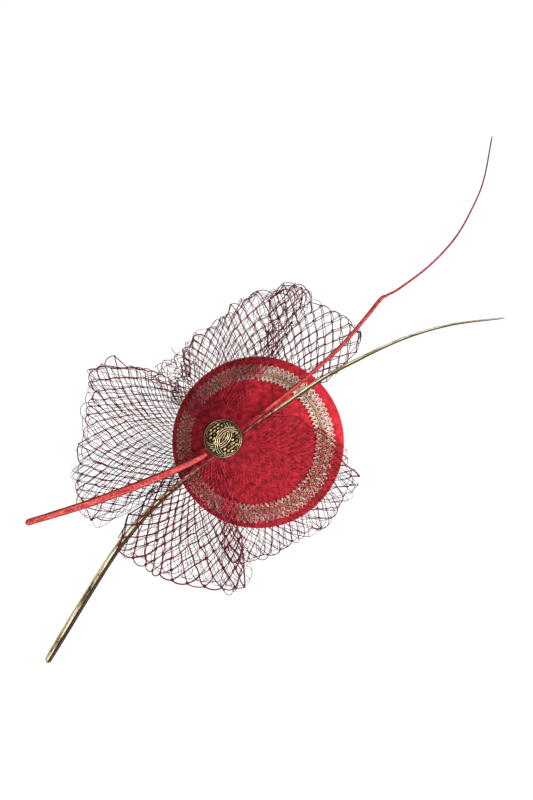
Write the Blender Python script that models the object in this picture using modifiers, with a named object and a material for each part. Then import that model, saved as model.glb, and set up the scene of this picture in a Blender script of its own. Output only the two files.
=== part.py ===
"""Fascinator headpiece.

A round, shallow, off-centre cone of stiff buckram covered in red fabric carries a ring of metallic lace,
five bow loops of diamond veiling, two long stripped quills and a domed shank button that hides where they
are all sewn down. A sprung hair clip is held under it by a felt pad and a ribbon keeper.

Metres, +Z up (away from the head). The origin is the middle of the clip's grip, under the base's centre.
"""

import math

import bmesh
import bpy
import numpy as np
from mathutils import Vector

MM = 0.001
GAP = 0.3 * MM  # clearance left between pieces that touch

# Base: a disc bent over an off-centre crown
BASE_R = 62.5 * MM
RIM_Z = -5.0 * MM
CROWN_H = 18.0 * MM
CROWN_POWER = 1.6  # 1 would be a straight cone, 2 a dome
APEX = Vector((-24.9 * MM, 3.3 * MM))
SEGMENTS = 48
COVER_T = 0.4 * MM
CORE_T = 1.5 * MM
LINING_T = 0.4 * MM
HEM_W = 9.0 * MM
EDGE_R = (2 * COVER_T + 2 * GAP + CORE_T) / 2  # the cover's roll round the rim
WIRE_R = 0.45 * MM

# Lace ring, as two circles in plan: its inner edge and its outer edge
TRIM_INNER_R = 44.4 * MM
TRIM_OUTER_R = 57.5 * MM
TRIM_INNER_CENTRE = Vector((-3.3 * MM, 0.3 * MM))
TRIM_OUTER_CENTRE = Vector((-1.65 * MM, -0.8 * MM))
TRIM_LIFT = 0.5 * MM
LACE_T = 0.8 * MM
TRIM_CORD_R = 0.8 * MM
TRIM_CORD_SHARE = 0.41  # where the raised cord lies, from the inner edge (0) to the outer (1)

# Centre stack, measured up from the crown's apex
APEX_Z = RIM_Z + CROWN_H
GATHER_LOW = APEX_Z + 4.2 * MM
GATHER_HIGH = APEX_Z + 5.7 * MM
GATHER_IN_R = 3.6 * MM
GATHER_OUT_R = 11.5 * MM
BUTTON_R = 14.0 * MM
BUTTON_BACK_Z = APEX_Z + 6.0 * MM
BUTTON_BACK_T = 0.8 * MM
BUTTON_DOME_H = 6.2 * MM
BUTTON_WALL = 1.0 * MM
SHANK_LOOP_R = 2.0 * MM
SHANK_WIRE_R = 0.45 * MM
THREAD_R = 0.35 * MM
QUILL_BEARING = math.radians(36.0)  # the quills' run under the button
QUILL_SPAN = 3  # route points from one station to the next
STITCH_R = 0.2 * MM
RED_STITCH_AT = 18  # points of the quills' routes that the stitches cross, just right of the button
GOLD_STITCH_AT = 25

# Bow loops of veiling
NECK_R = 13.5 * MM
NECK_SPREAD = 0.25  # share of a loop's fan that its neck keeps
NECK_END = 0.5  # share of the reach where the fan is fully open
NET_CLEAR = 2.3 * MM
NET_T = 1.2 * MM
UNDER_IN_R = 52.0 * MM
LOOP_COLUMNS = 13
LOOP_ROWS = 8

# Hair clip, lying along Y with its jaws closing at the origin
CLIP_W = 8.0 * MM
CLIP_BACK = -24.0 * MM
CLIP_FRONT = 24.0 * MM
PLATE_LOW = 0.15 * MM
PLATE_T = 0.6 * MM
PIVOT_Y = -10.0 * MM
PIVOT_Z = -2.2 * MM
PIN_R = 0.6 * MM
PIN_HOLE_R = 0.9 * MM
PIN_LENGTH = 8.8 * MM
LEVER_W = 5.6 * MM
LEVER_T = 0.6 * MM
LUG_R = 1.9 * MM
SPRING_R = 1.3 * MM
SPRING_WIRE_R = 0.25 * MM
SPRING_HALF = 1.55 * MM
SPRING_TURNS = 3.5
PAD_COLUMNS = (-24.0, -17.5, -10.9, -10.8, -3.5, 4.0, 11.0)  # across, in mm; the step bounds the clear land
PAD_L = 50.0 * MM
PAD_LOW = PLATE_LOW + PLATE_T + GAP
PAD_LAND = PAD_LOW - GAP
STRAP_T = 0.3 * MM


def material(name, colour, roughness, metallic=0.0):
    """A plain Principled material."""
    made = bpy.data.materials.new(name)
    made.use_nodes = True
    shader = made.node_tree.nodes["Principled BSDF"]
    shader.inputs["Base Color"].default_value = (*colour, 1.0)
    shader.inputs["Roughness"].default_value = roughness
    shader.inputs["Metallic"].default_value = metallic
    return made


def new_collection(name):
    made = bpy.data.collections.new(name)
    bpy.context.scene.collection.children.link(made)
    return made


def add(name, bm, where, look):
    """A mesh object made from a bmesh whose faces are first turned outward."""
    bmesh.ops.recalc_face_normals(bm, faces=bm.faces)
    mesh = bpy.data.meshes.new(name)
    bm.to_mesh(mesh)
    bm.free()
    for face in mesh.polygons:
        face.use_smooth = True
    mesh.set_sharp_from_angle(angle=math.radians(35))
    made = bpy.data.objects.new(name, mesh)
    where.objects.link(made)
    if look:
        made.data.materials.append(look)
    return made


def turned(outline, steps=SEGMENTS):
    """A body turned about Z from a closed (radius, height) outline."""
    bm = bmesh.new()
    verts = [bm.verts.new((r, 0.0, z)) for r, z in outline]
    edges = [bm.edges.new(pair) for pair in zip(verts, verts[1:])]
    if outline[0][0] > 0:
        edges.append(bm.edges.new((verts[-1], verts[0])))
    bmesh.ops.spin(
        bm,
        geom=verts + edges,
        cent=(0, 0, 0),
        axis=(0, 0, 1),
        angle=2 * math.pi,
        steps=steps,
        use_merge=True,
    )
    bmesh.ops.remove_doubles(bm, verts=bm.verts, dist=0.001 * MM)
    return bm


def crown_share(x, y):
    """How far a plan point lies on the way from the apex (0) to the rim (1)."""
    ray = Vector((x, y)) - APEX
    if ray.length < 1e-9:
        return 0.0
    along = APEX.dot(ray)
    spare = BASE_R**2 - APEX.length_squared
    to_rim = (math.sqrt(along**2 + ray.length_squared * spare) - along) / ray.length_squared
    return 1.0 / to_rim


def crown_height(share):
    """The cover's height for a share of the way to the rim; past the rim it runs on straight."""
    if share > 1:
        return RIM_Z - CROWN_H * CROWN_POWER * (share - 1)
    return RIM_Z + CROWN_H * (1 - share**CROWN_POWER)


def crown_z(x, y):
    return crown_height(crown_share(x, y))


def bend_over_crown(bm):
    """Move each circle of a flat disc toward the apex and raise it to the crown's height."""
    for v in bm.verts:
        share = v.co.xy.length / BASE_R
        v.co.x += APEX.x * (1 - share)
        v.co.y += APEX.y * (1 - share)
        v.co.z += crown_height(share)


def arc(centre_r, centre_z, radius, start_deg, end_deg, steps):
    """Points on an arc of a turned outline, both ends included."""
    turns = [math.radians(a) for a in np.linspace(start_deg, end_deg, steps + 1)]
    return [(centre_r + radius * math.cos(a), centre_z + radius * math.sin(a)) for a in turns]


def across(start_r, end_r, z, steps):
    return [(r, z) for r in np.linspace(start_r, end_r, steps + 1)]


def base_cover(where, look):
    """The red fabric: over the crown, round the rim's wire and turned under as a hem."""
    roll_r = BASE_R - EDGE_R
    outline = across(0.0, roll_r, 0.0, 7)[:-1]
    outline += arc(roll_r, -EDGE_R, EDGE_R, 90, -90, 5)
    outline += [(BASE_R - HEM_W, -2 * EDGE_R), (BASE_R - HEM_W, COVER_T - 2 * EDGE_R)]
    outline += arc(roll_r, -EDGE_R, EDGE_R - COVER_T, -90, 90, 4)
    outline += across(roll_r, 0.0, -COVER_T, 7)[1:]
    bm = turned(outline)
    bend_over_crown(bm)
    return add("base_cover", bm, where, look)


def crown_layer(name, top, thickness, radius, where, look):
    """A sheet bent over the crown, its top a given depth below the cover's face."""
    outline = across(0.0, radius, top, 5) + across(radius, 0.0, top - thickness, 5)
    bm = turned(outline)
    bend_over_crown(bm)
    return add(name, bm, where, look)


def edge_wire(where, look):
    """Millinery wire that keeps the rim round, inside the cover's roll."""
    radius = BASE_R - EDGE_R + 0.15 * MM
    share = radius / BASE_R
    centre = APEX * (1 - share)
    bpy.ops.mesh.primitive_torus_add(
        major_radius=radius,
        minor_radius=WIRE_R,
        major_segments=SEGMENTS,
        minor_segments=5,
        location=(centre.x, centre.y, crown_height(share) - EDGE_R),
    )
    return adopt("edge_wire", where, look)


def adopt(name, where, look):
    """Name the object that an operator has just made, and move it to its collection."""
    made = bpy.context.object
    made.name = name
    made.data.name = name
    for old in list(made.users_collection):
        old.objects.unlink(made)
    where.objects.link(made)
    if look:
        made.data.materials.append(look)
    made.data.shade_smooth()
    made.data.set_sharp_from_angle(angle=math.radians(50))
    return made


def trim_radius(share):
    return TRIM_INNER_R + (TRIM_OUTER_R - TRIM_INNER_R) * share


def lay_trim(bm):
    """Lay a flat ring on the crown: shift each circle to its own centre, then raise it."""
    for v in bm.verts:
        share = (v.co.xy.length - TRIM_INNER_R) / (TRIM_OUTER_R - TRIM_INNER_R)
        centre = TRIM_INNER_CENTRE.lerp(TRIM_OUTER_CENTRE, share)
        v.co.x += centre.x
        v.co.y += centre.y
        v.co.z += crown_z(v.co.x, v.co.y) + TRIM_LIFT


def lace_band(name, start, end, where, look):
    """One flat band of the lace, between two shares of the ring's width."""
    inner, outer = trim_radius(start), trim_radius(end)
    bm = turned([(inner, 0.0), (outer, 0.0), (outer, LACE_T), (inner, LACE_T)])
    lay_trim(bm)
    return add(name, bm, where, look)


def trim_cord(where, look):
    """The raised cord between the two bands."""
    radius = trim_radius(TRIM_CORD_SHARE)
    bm = turned(arc(radius, TRIM_CORD_R, TRIM_CORD_R, 0, 300, 5))
    lay_trim(bm)
    return add("trim_cord", bm, where, look)


def button_cap(where, look):
    """A thin domed shell with a short upright skirt."""
    skirt = 1.0 * MM
    rise = BUTTON_DOME_H - skirt
    outer = [(BUTTON_R * math.sin(a), skirt + rise * math.cos(a)) for a in np.linspace(0, math.pi / 2, 7)]
    inner_r, inner_rise = BUTTON_R - BUTTON_WALL, rise - BUTTON_WALL
    inner = [(inner_r * math.sin(a), skirt + inner_rise * math.cos(a)) for a in np.linspace(math.pi / 2, 0, 6)]
    bm = turned(outer + [(BUTTON_R, 0.0), (inner_r, 0.0)] + inner, 40)
    made = add("button_cap", bm, where, look)
    made.location = (APEX.x, APEX.y, BUTTON_BACK_Z)
    return made


def button_back(where, look):
    """The flat plate inside the cap's skirt, which carries the shank."""
    bpy.ops.mesh.primitive_cylinder_add(
        vertices=32,
        radius=BUTTON_R - BUTTON_WALL - GAP,
        depth=BUTTON_BACK_T,
        location=(APEX.x, APEX.y, BUTTON_BACK_Z + BUTTON_BACK_T / 2),
    )
    return adopt("button_back", where, look)


def tube(name, points, radius, where, look, sides=2, tapers=None):
    """A round rod along a run of points, with filled ends; tapers gives each point's share of the radius."""
    data = bpy.data.curves.new(name, "CURVE")
    data.dimensions = "3D"
    data.bevel_depth = radius
    data.bevel_resolution = sides
    data.use_fill_caps = True
    spline = data.splines.new("POLY")
    spline.points.add(len(points) - 1)
    for i, (spot, place) in enumerate(zip(spline.points, points)):
        spot.co = (*place, 1.0)
        spot.radius = tapers[i] if tapers else 1.0
    data.materials.append(look)
    made = bpy.data.objects.new(name, data)
    where.objects.link(made)
    return made


def beside_button(along, side, height):
    """A point near the button: along the quills' run, to its left, and up."""
    run = Vector((math.cos(QUILL_BEARING), math.sin(QUILL_BEARING)))
    left = Vector((-run.y, run.x))
    spot = APEX + run * along + left * side
    return (spot.x, spot.y, height)


def button_shank(where, look):
    """A wire loop standing under the back plate, in the plane of the quills' run."""
    loop_z = APEX_Z + 4.2 * MM
    top = BUTTON_BACK_Z - GAP
    bow = [(-SHANK_LOOP_R * math.cos(a), loop_z - SHANK_LOOP_R * math.sin(a)) for a in np.linspace(0, math.pi, 9)]
    run = [(-SHANK_LOOP_R, top)] + bow + [(SHANK_LOOP_R, top)]
    points = [beside_button(s, 0.0, z) for s, z in run]
    return tube("button_shank", points, SHANK_WIRE_R, where, look, 1)


def button_thread(where, look):
    """The sewing thread: up through the shank's loop and back down to the cover."""
    bar_z = APEX_Z + 4.2 * MM - SHANK_LOOP_R
    arch_r = 1.0 * MM
    arch = [(-arch_r * math.cos(a), bar_z + arch_r * math.sin(a)) for a in np.linspace(0, math.pi, 7)]
    foot = APEX_Z + GAP
    run = [(-arch_r, foot)] + arch + [(arch_r, foot)]
    points = [beside_button(0.0, s, z) for s, z in run]
    return tube("button_thread", points, THREAD_R, where, look, 1)


def net_gather(where, look):
    """The bunched middle of the veiling, a soft ring round the shank."""
    middle = (GATHER_LOW + GATHER_HIGH) / 2
    inner, outer = GATHER_IN_R, GATHER_OUT_R
    soft = 0.9 * MM
    outline = [
        (inner, middle),
        (inner + soft, GATHER_LOW),
        (outer - soft, GATHER_LOW),
        (outer, middle),
        (outer - soft, GATHER_HIGH),
        (inner + soft, GATHER_HIGH),
    ]
    made = add("net_gather", turned(outline, 32), where, look)
    made.location = (APEX.x, APEX.y, 0.0)
    return made


def gather_thread(where, look):
    """The drawn thread that ties the veiling's neck."""
    bpy.ops.mesh.primitive_torus_add(
        major_radius=GATHER_OUT_R + GAP + THREAD_R,
        minor_radius=THREAD_R,
        major_segments=32,
        minor_segments=5,
        location=(APEX.x, APEX.y, (GATHER_LOW + GATHER_HIGH) / 2),
    )
    return adopt("gather_thread", where, look)


def loop_floor(x, y, hang):
    """The underside of a bow loop: clear of the trimmed crown, then level past the rim."""
    soft = 2.0 * MM
    over = (crown_z(x, y) + NET_CLEAR) / soft
    level = hang / soft
    high = max(over, level)
    return soft * (high + math.log(math.exp(over - high) + math.exp(level - high)))


def net_loop(name, outline, hang, puff, where, look):
    """A bow loop: a flat pillow fanned out from the button.

    The outline gives the loop's reach in millimetres at bearings in degrees; hang is its level past
    the rim, and puff its fullness in the middle.
    """
    bearings, reaches = zip(*outline)
    middle = (bearings[0] + bearings[-1]) / 2
    bm = bmesh.new()
    bmesh.ops.create_grid(bm, x_segments=LOOP_COLUMNS, y_segments=LOOP_ROWS, size=0.5)
    raised = bmesh.ops.extrude_face_region(bm, geom=list(bm.faces), use_keep_orig=True)
    upper = {v for v in raised["geom"] if isinstance(v, bmesh.types.BMVert)}
    for v in bm.verts:
        side, along = v.co.x + 0.5, v.co.y + 0.5
        bearing = bearings[0] + (bearings[-1] - bearings[0]) * side
        reach = float(np.interp(bearing, bearings, reaches)) * MM
        spread = min(1.0, NECK_SPREAD + (1 - NECK_SPREAD) * along / NECK_END)
        turn = math.radians(middle + (bearing - middle) * spread)
        radius = NECK_R + (reach - NECK_R) * along
        x = APEX.x + radius * math.cos(turn)
        y = APEX.y + radius * math.sin(turn)
        z = loop_floor(x, y, hang)
        if v in upper:
            z += NET_T + puff * math.sin(math.pi * side) ** 1.5 * math.sin(math.pi * along)
        v.co = (x, y, z)
    return add(name, bm, where, look)


def under_loop(name, outline, where, look):
    """A flat loop of veiling sewn under the hem, fanned out from the base's centre."""
    bearings, reaches = zip(*outline)
    bm = bmesh.new()
    bmesh.ops.create_grid(bm, x_segments=LOOP_COLUMNS, y_segments=4, size=0.5)
    raised = bmesh.ops.extrude_face_region(bm, geom=list(bm.faces), use_keep_orig=True)
    upper = {v for v in raised["geom"] if isinstance(v, bmesh.types.BMVert)}
    top = RIM_Z - 2 * EDGE_R - GAP
    for v in bm.verts:
        bearing = bearings[0] + (bearings[-1] - bearings[0]) * (v.co.x + 0.5)
        reach = float(np.interp(bearing, bearings, reaches)) * MM
        turn = math.radians(bearing)
        radius = UNDER_IN_R + (reach - UNDER_IN_R) * (v.co.y + 0.5)
        z = top if v in upper else top - NET_T
        v.co = (radius * math.cos(turn), radius * math.sin(turn), z)
    return add(name, bm, where, look)


def smooth_route(stations, per_span):
    """Points of a Catmull-Rom curve through hand-set stations, whose last value is a radius."""
    rows = [Vector(s) for s in stations]
    ends = [rows[0] * 2 - rows[1]] + rows + [rows[-1] * 2 - rows[-2]]
    route = []
    for a, b, c, d in zip(ends, ends[1:], ends[2:], ends[3:]):
        for t in np.linspace(0, 1, per_span, endpoint=False):
            route.append(
                b * 2 * 0.5
                + (c - a) * (0.5 * t)
                + (a * 2 - b * 5 + c * 4 - d) * (0.5 * t**2)
                + (b * 3 - a - c * 3 + d) * (0.5 * t**3)
            )
    return route + [rows[-1]]


def quill(name, stations, where, look):
    """A stripped feather quill: a tapering rod through stations of (x, y, z, radius) in millimetres."""
    route = smooth_route(stations, QUILL_SPAN)
    widest = max(p[3] for p in route)
    points = [(p[0] * MM, p[1] * MM, p[2] * MM) for p in route]
    tapers = [p[3] / widest for p in route]
    return tube(name, points, widest * MM, where, look, 2, tapers)


def quill_stitch(name, stations, spot, where, look):
    """A thread staple over one point of a quill's route, down to the cover at both sides."""
    before, here, after = smooth_route(stations, QUILL_SPAN)[spot - 1 : spot + 2]
    run = (after - before).xy.normalized()
    left = Vector((-run.y, run.x))
    bow_r = here[3] * MM + GAP + STITCH_R
    middle = here.xy * MM
    points = []
    for a in np.linspace(0, math.pi, 9):
        place = middle + left * (bow_r * math.cos(a))
        points.append((place.x, place.y, here[2] * MM + bow_r * math.sin(a)))
    feet = [(p[0], p[1], crown_z(p[0], p[1]) + GAP + STITCH_R) for p in (points[0], points[-1])]
    return tube(name, [feet[0]] + points + [feet[1]], STITCH_R, where, look, 1)


def block(name, low, high, where, look=None):
    """A box between two corners, in millimetres."""
    bm = bmesh.new()
    bmesh.ops.create_cube(bm, size=1.0)
    for v in bm.verts:
        for i in range(3):
            v.co[i] = ((low[i] + high[i]) / 2 + v.co[i] * (high[i] - low[i])) * MM
    return add(name, bm, where, look)


def cross_rod(name, radius, length, where, look=None, x=0.0, vertices=16):
    """A cylinder along X on the clip's pivot."""
    bpy.ops.mesh.primitive_cylinder_add(
        vertices=vertices,
        radius=radius,
        depth=length,
        location=(x, PIVOT_Y, PIVOT_Z),
        rotation=(0, math.pi / 2, 0),
    )
    return adopt(name, where, look)


def as_cutter(made):
    made.hide_render = True
    made.display_type = "WIRE"
    return made


def combine(target, other, operation):
    """A live Boolean with a hidden helper."""
    as_cutter(other)
    modifier = target.modifiers.new(other.name, "BOOLEAN")
    modifier.operation = operation
    modifier.object = other


def clip_base(where, helpers, look):
    """The fixed jaw: a flat plate with two ears that hold the pin."""
    low, high = PLATE_LOW / MM, (PLATE_LOW + PLATE_T) / MM
    half, back, front = CLIP_W / MM / 2, CLIP_BACK / MM, CLIP_FRONT / MM
    made = block("clip_base", (-half, back, low), (half, front, high), where, look)
    for side, start in (("left", -half), ("right", half - 0.6)):
        ear = block(f"ear_{side}", (start, -12.5, -3.8), (start + 0.6, -7.5, low + 0.3), helpers)
        combine(made, ear, "UNION")
    combine(made, cross_rod("ear_bore", PIN_HOLE_R, CLIP_W * 2, helpers), "DIFFERENCE")
    return made


def clip_lever(where, helpers, look):
    """The sprung jaw: a bent strip with two lugs on the pin and teeth at its tip."""
    profile = [(-22.0, -5.9), (-16.0, -5.2), (-10.0, -4.6), (5.0, -3.2), (14.0, -2.2), (20.0, -1.1), (23.5, -0.5)]
    bm = bmesh.new()
    rows = [[bm.verts.new((x, y * MM, z * MM)) for x in (-LEVER_W / 2, LEVER_W / 2)] for y, z in profile]
    for a, b in zip(rows, rows[1:]):
        bm.faces.new((a[0], a[1], b[1], b[0]))
    made = add("clip_lever", bm, where, look)
    shell = made.modifiers.new("thickness", "SOLIDIFY")
    shell.thickness = LEVER_T
    shell.offset = 0.0
    half = LEVER_W / MM / 2
    for side, start in (("left", -half), ("right", half - 0.6)):
        foot = block(f"lug_{side}_foot", (start, -11.4, -4.7), (start + 0.6, -8.6, -2.2), helpers)
        combine(made, foot, "UNION")
        eye = cross_rod(f"lug_{side}_eye", LUG_R, 0.62 * MM, helpers, None, (start + 0.3) * MM, 20)
        combine(made, eye, "UNION")
    combine(made, cross_rod("lug_bore", PIN_HOLE_R, LEVER_W * 2, helpers), "DIFFERENCE")
    for row, (y, z) in enumerate(((15.5, -1.9), (18.5, -1.4), (21.5, -0.85))):
        for side in (-1, 1):
            tooth_h = (-GAP / 2 / MM) - z
            bpy.ops.mesh.primitive_cone_add(
                vertices=4,
                radius1=0.55 * MM,
                radius2=0.05 * MM,
                depth=(tooth_h + 0.3) * MM,
                location=(side * 1.9 * MM, y * MM, (z - 0.3 + (tooth_h + 0.3) / 2) * MM),
            )
            combine(made, adopt(f"tooth_{row}_{side + 1}", helpers, None), "UNION")
    return made


def clip_spring(where, look):
    """A torsion coil on the pin whose two legs push the clip's tails apart."""
    steps = int(SPRING_TURNS * 10)
    coil = []
    for i in range(steps + 1):
        turn = 2 * math.pi * SPRING_TURNS * i / steps
        x = -SPRING_HALF + 2 * SPRING_HALF * i / steps
        coil.append((x, PIVOT_Y + SPRING_R * math.sin(turn), PIVOT_Z + SPRING_R * math.cos(turn)))
    upper_leg = (-SPRING_HALF, PIVOT_Y - 7 * MM, PLATE_LOW - SPRING_WIRE_R - GAP)
    lower_leg = (SPRING_HALF, PIVOT_Y - 7 * MM, -4.65 * MM)
    return tube("clip_spring", [upper_leg] + coil + [lower_leg], SPRING_WIRE_R, where, look, 1)


def clip_pad(where, look):
    """A felt block: shaped above to the lining, flat below, with a clear land beside the clip."""
    depth = 2 * EDGE_R + GAP + LINING_T + GAP  # from the cover's face down to the pad's top
    segments = len(PAD_COLUMNS) - 1
    bm = bmesh.new()
    bmesh.ops.create_grid(bm, x_segments=segments, y_segments=8, size=0.5)
    raised = bmesh.ops.extrude_face_region(bm, geom=list(bm.faces), use_keep_orig=True)
    upper = {v for v in raised["geom"] if isinstance(v, bmesh.types.BMVert)}
    for v in bm.verts:
        column = round((v.co.x + 0.5) * segments)
        v.co.x = PAD_COLUMNS[column] * MM
        v.co.y *= PAD_L
        low = PAD_LAND if column < 3 else PAD_LOW
        v.co.z = crown_z(v.co.x, v.co.y) - depth - GAP if v in upper else low
    return add("clip_pad", bm, where, look)


def clip_strap(where, look):
    """A ribbon keeper that holds the fixed jaw against the pad."""
    above, below = PAD_LOW - GAP - STRAP_T / 2, PLATE_LOW - GAP - STRAP_T / 2
    edge = CLIP_W / 2 + GAP + STRAP_T
    half = [(10.0 * MM, above), (edge + 0.7 * MM, above), (edge + 0.1 * MM, below + 0.3 * MM), (edge - 0.5 * MM, below)]
    path = [(-x, z) for x, z in half] + half[::-1]
    bm = bmesh.new()
    rows = [[bm.verts.new((x, y * MM, z)) for y in (3.0, 11.0)] for x, z in path]
    for a, b in zip(rows, rows[1:]):
        bm.faces.new((a[0], b[0], b[1], a[1]))
    made = add("clip_strap", bm, where, look)
    shell = made.modifiers.new("thickness", "SOLIDIFY")
    shell.thickness = STRAP_T
    shell.offset = 0.0
    return made


# Each loop's outline round the button: bearing in degrees, reach in millimetres
LEFT_LOOP = (
    (134, 52), (140, 72), (143, 94), (147, 105), (151, 108), (160, 101), (176, 100),
    (186, 104), (194, 109), (201, 114), (209, 116), (214, 112), (218, 96),
)  # fmt: skip
TOP_LOOP = ((62, 120), (66, 121), (72, 110), (79, 104), (86, 96), (97, 80), (104, 78), (116, 68), (128, 54))
BOTTOM_LOOP = ((246, 107), (256, 107), (267, 109), (276, 110))
RIGHT_LOOP = ((279, 91), (289, 91), (300, 91), (314, 94), (330, 99), (336, 99), (343, 101), (347, 99), (351, 89))

# The loop sewn under the rim, round the base's centre
UNDER_LOOP = (
    (41, 76), (41.5, 88), (43.5, 105), (45, 111), (47, 111), (55, 109), (64, 111), (73, 116), (80, 115), (84, 104),
)  # fmt: skip

# Each quill's stations: x, y, z, radius in millimetres, from its thick end to its tip
RED_QUILL = (
    (-166.2, -57.4, 15.0, 2.3), (-130.0, -46.2, 14.2, 2.7), (-92.5, -32.9, 14.0, 2.9),
    (-60.0, -19.6, 14.4, 2.6), (-38.3, -9.0, 15.0, 2.0), (-22.8, 0.4, 15.1, 1.6), (5.0, 22.8, 12.0, 1.5),
    (30.3, 43.0, 8.4, 1.5), (57.1, 66.8, 5.6, 1.5), (75.5, 87.5, 4.4, 1.45), (88.1, 103.0, 3.8, 1.4),
    (93.0, 106.2, 3.6, 1.0), (102.6, 111.6, 3.4, 0.85), (124.3, 128.2, 3.2, 0.75), (142.3, 147.8, 3.0, 0.7),
    (154.6, 169.4, 4.0, 0.6), (162.6, 189.7, 5.2, 0.55), (168.3, 220.7, 7.5, 0.45),
)  # fmt: skip
GOLD_QUILL = (
    (-152.4, -158.6, 2.0, 2.3), (-143.0, -142.7, 2.2, 2.7), (-120.0, -105.0, 2.8, 2.7),
    (-99.7, -74.1, 3.8, 2.6), (-78.0, -48.8, 6.0, 2.3), (-57.0, -30.0, 9.4, 2.0), (-38.3, -16.3, 13.4, 1.7),
    (-20.8, -2.3, 14.8, 1.5), (3.6, 17.0, 11.8, 1.5), (25.0, 31.6, 8.2, 1.5), (44.8, 45.2, 5.0, 1.5),
    (62.9, 55.3, 3.2, 1.4), (102.6, 74.1, 1.6, 1.1), (138.7, 84.9, 1.2, 0.9), (178.5, 90.0, 2.2, 0.6),
)  # fmt: skip


def clear_scene():
    for old in list(bpy.data.objects):
        bpy.data.objects.remove(old, do_unlink=True)


def build_base(part):
    red = material("red_fabric", (0.52, 0.03, 0.05), 0.6)
    stiff = material("buckram", (0.86, 0.82, 0.72), 0.8)
    steel = material("covered_wire", (0.75, 0.75, 0.75), 0.4, 0.6)
    satin = material("lining_satin", (0.36, 0.02, 0.04), 0.45)
    base_cover(part, red)
    crown_layer("base_core", -COVER_T - GAP, CORE_T, BASE_R - EDGE_R - 0.65 * MM, part, stiff)
    edge_wire(part, steel)
    crown_layer("lining", -2 * EDGE_R - GAP, LINING_T, BASE_R - 4.5 * MM, part, satin)


def build_trim(part):
    rose_gold = material("lace_metallic", (0.80, 0.55, 0.45), 0.4, 0.6)
    cord_gold = material("cord_gold", (0.62, 0.45, 0.18), 0.35, 0.8)
    lace_band("trim_inner_lace", 0.0, 0.33, part, rose_gold)
    trim_cord(part, cord_gold)
    lace_band("trim_outer_lace", 0.50, 1.0, part, rose_gold)


def build_button(part):
    brass = material("antique_brass", (0.55, 0.40, 0.20), 0.35, 1.0)
    thread = material("red_thread", (0.45, 0.03, 0.05), 0.7)
    button_cap(part, brass)
    button_back(part, brass)
    button_shank(part, brass)
    button_thread(part, thread)


def build_veiling(part):
    net = material("veiling", (0.30, 0.05, 0.10), 0.8)
    thread = material("tie_thread", (0.35, 0.03, 0.06), 0.7)
    net_gather(part, net)
    gather_thread(part, thread)
    net_loop("net_loop_left", LEFT_LOOP, -1.0 * MM, 4.0 * MM, part, net)
    net_loop("net_loop_top", TOP_LOOP, -2.5 * MM, 3.0 * MM, part, net)
    under_loop("net_loop_under", UNDER_LOOP, part, net)
    net_loop("net_loop_bottom", BOTTOM_LOOP, -2.5 * MM, 4.0 * MM, part, net)
    net_loop("net_loop_right", RIGHT_LOOP, -2.5 * MM, 3.0 * MM, part, net)


def build_quills(part):
    coral = material("quill_red", (0.75, 0.06, 0.07), 0.35)
    gold = material("quill_gold", (0.72, 0.58, 0.32), 0.3, 0.7)
    thread = material("stitch_thread", (0.40, 0.03, 0.05), 0.7)
    quill("red_quill", RED_QUILL, part, coral)
    quill("gold_quill", GOLD_QUILL, part, gold)
    quill_stitch("quill_stitch_red", RED_QUILL, RED_STITCH_AT, part, thread)
    quill_stitch("quill_stitch_gold", GOLD_QUILL, GOLD_STITCH_AT, part, thread)


def build_clip(part, helpers):
    nickel = material("clip_nickel", (0.70, 0.70, 0.70), 0.3, 1.0)
    spring = material("spring_steel", (0.55, 0.55, 0.56), 0.3, 1.0)
    felt = material("felt", (0.40, 0.03, 0.05), 0.9)
    ribbon = material("grosgrain", (0.42, 0.03, 0.05), 0.7)
    clip_pad(part, felt)
    clip_base(part, helpers, nickel)
    clip_lever(part, helpers, nickel)
    cross_rod("clip_pin", PIN_R, PIN_LENGTH, part, nickel)
    clip_spring(part, spring)
    clip_strap(part, ribbon)


def main():
    clear_scene()
    part = new_collection("fascinator_headpiece")
    helpers = new_collection("cutters")
    build_base(part)
    build_trim(part)
    build_button(part)
    build_veiling(part)
    build_quills(part)
    build_clip(part, helpers)


main()
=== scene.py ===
"""Looks of the fascinator headpiece: silk cover, metallic lace, veiling, quills, brass button, hair clip.

Every shape is worked out on a grid of parameters or carried along a path, as whole numpy arrays, in metres,
with +Z away from the head.
"""

import math

import bpy
import numpy as np
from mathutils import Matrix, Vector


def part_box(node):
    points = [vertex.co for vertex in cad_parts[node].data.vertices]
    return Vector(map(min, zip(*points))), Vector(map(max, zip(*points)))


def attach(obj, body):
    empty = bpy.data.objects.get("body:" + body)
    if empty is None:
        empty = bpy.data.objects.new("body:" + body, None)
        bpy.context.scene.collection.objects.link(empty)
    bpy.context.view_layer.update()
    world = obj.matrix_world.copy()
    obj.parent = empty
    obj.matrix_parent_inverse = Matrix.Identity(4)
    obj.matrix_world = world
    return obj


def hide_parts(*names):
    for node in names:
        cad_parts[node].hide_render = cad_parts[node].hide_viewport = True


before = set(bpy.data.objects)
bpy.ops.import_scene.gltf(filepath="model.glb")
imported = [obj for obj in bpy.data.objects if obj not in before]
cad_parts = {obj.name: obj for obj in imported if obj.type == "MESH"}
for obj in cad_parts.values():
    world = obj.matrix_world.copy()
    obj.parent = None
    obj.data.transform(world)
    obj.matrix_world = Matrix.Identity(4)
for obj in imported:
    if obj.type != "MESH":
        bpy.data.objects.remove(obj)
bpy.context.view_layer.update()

MM = 0.001
UP = np.array((0.0, 0.0, 1.0))
FULL = 2 * math.pi
LEVEL = UP + np.array((0.013, 0.007, 0.0))


def box_of(node):
    """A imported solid's lowest and highest corner."""
    return [np.array(corner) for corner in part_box(node)]


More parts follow.
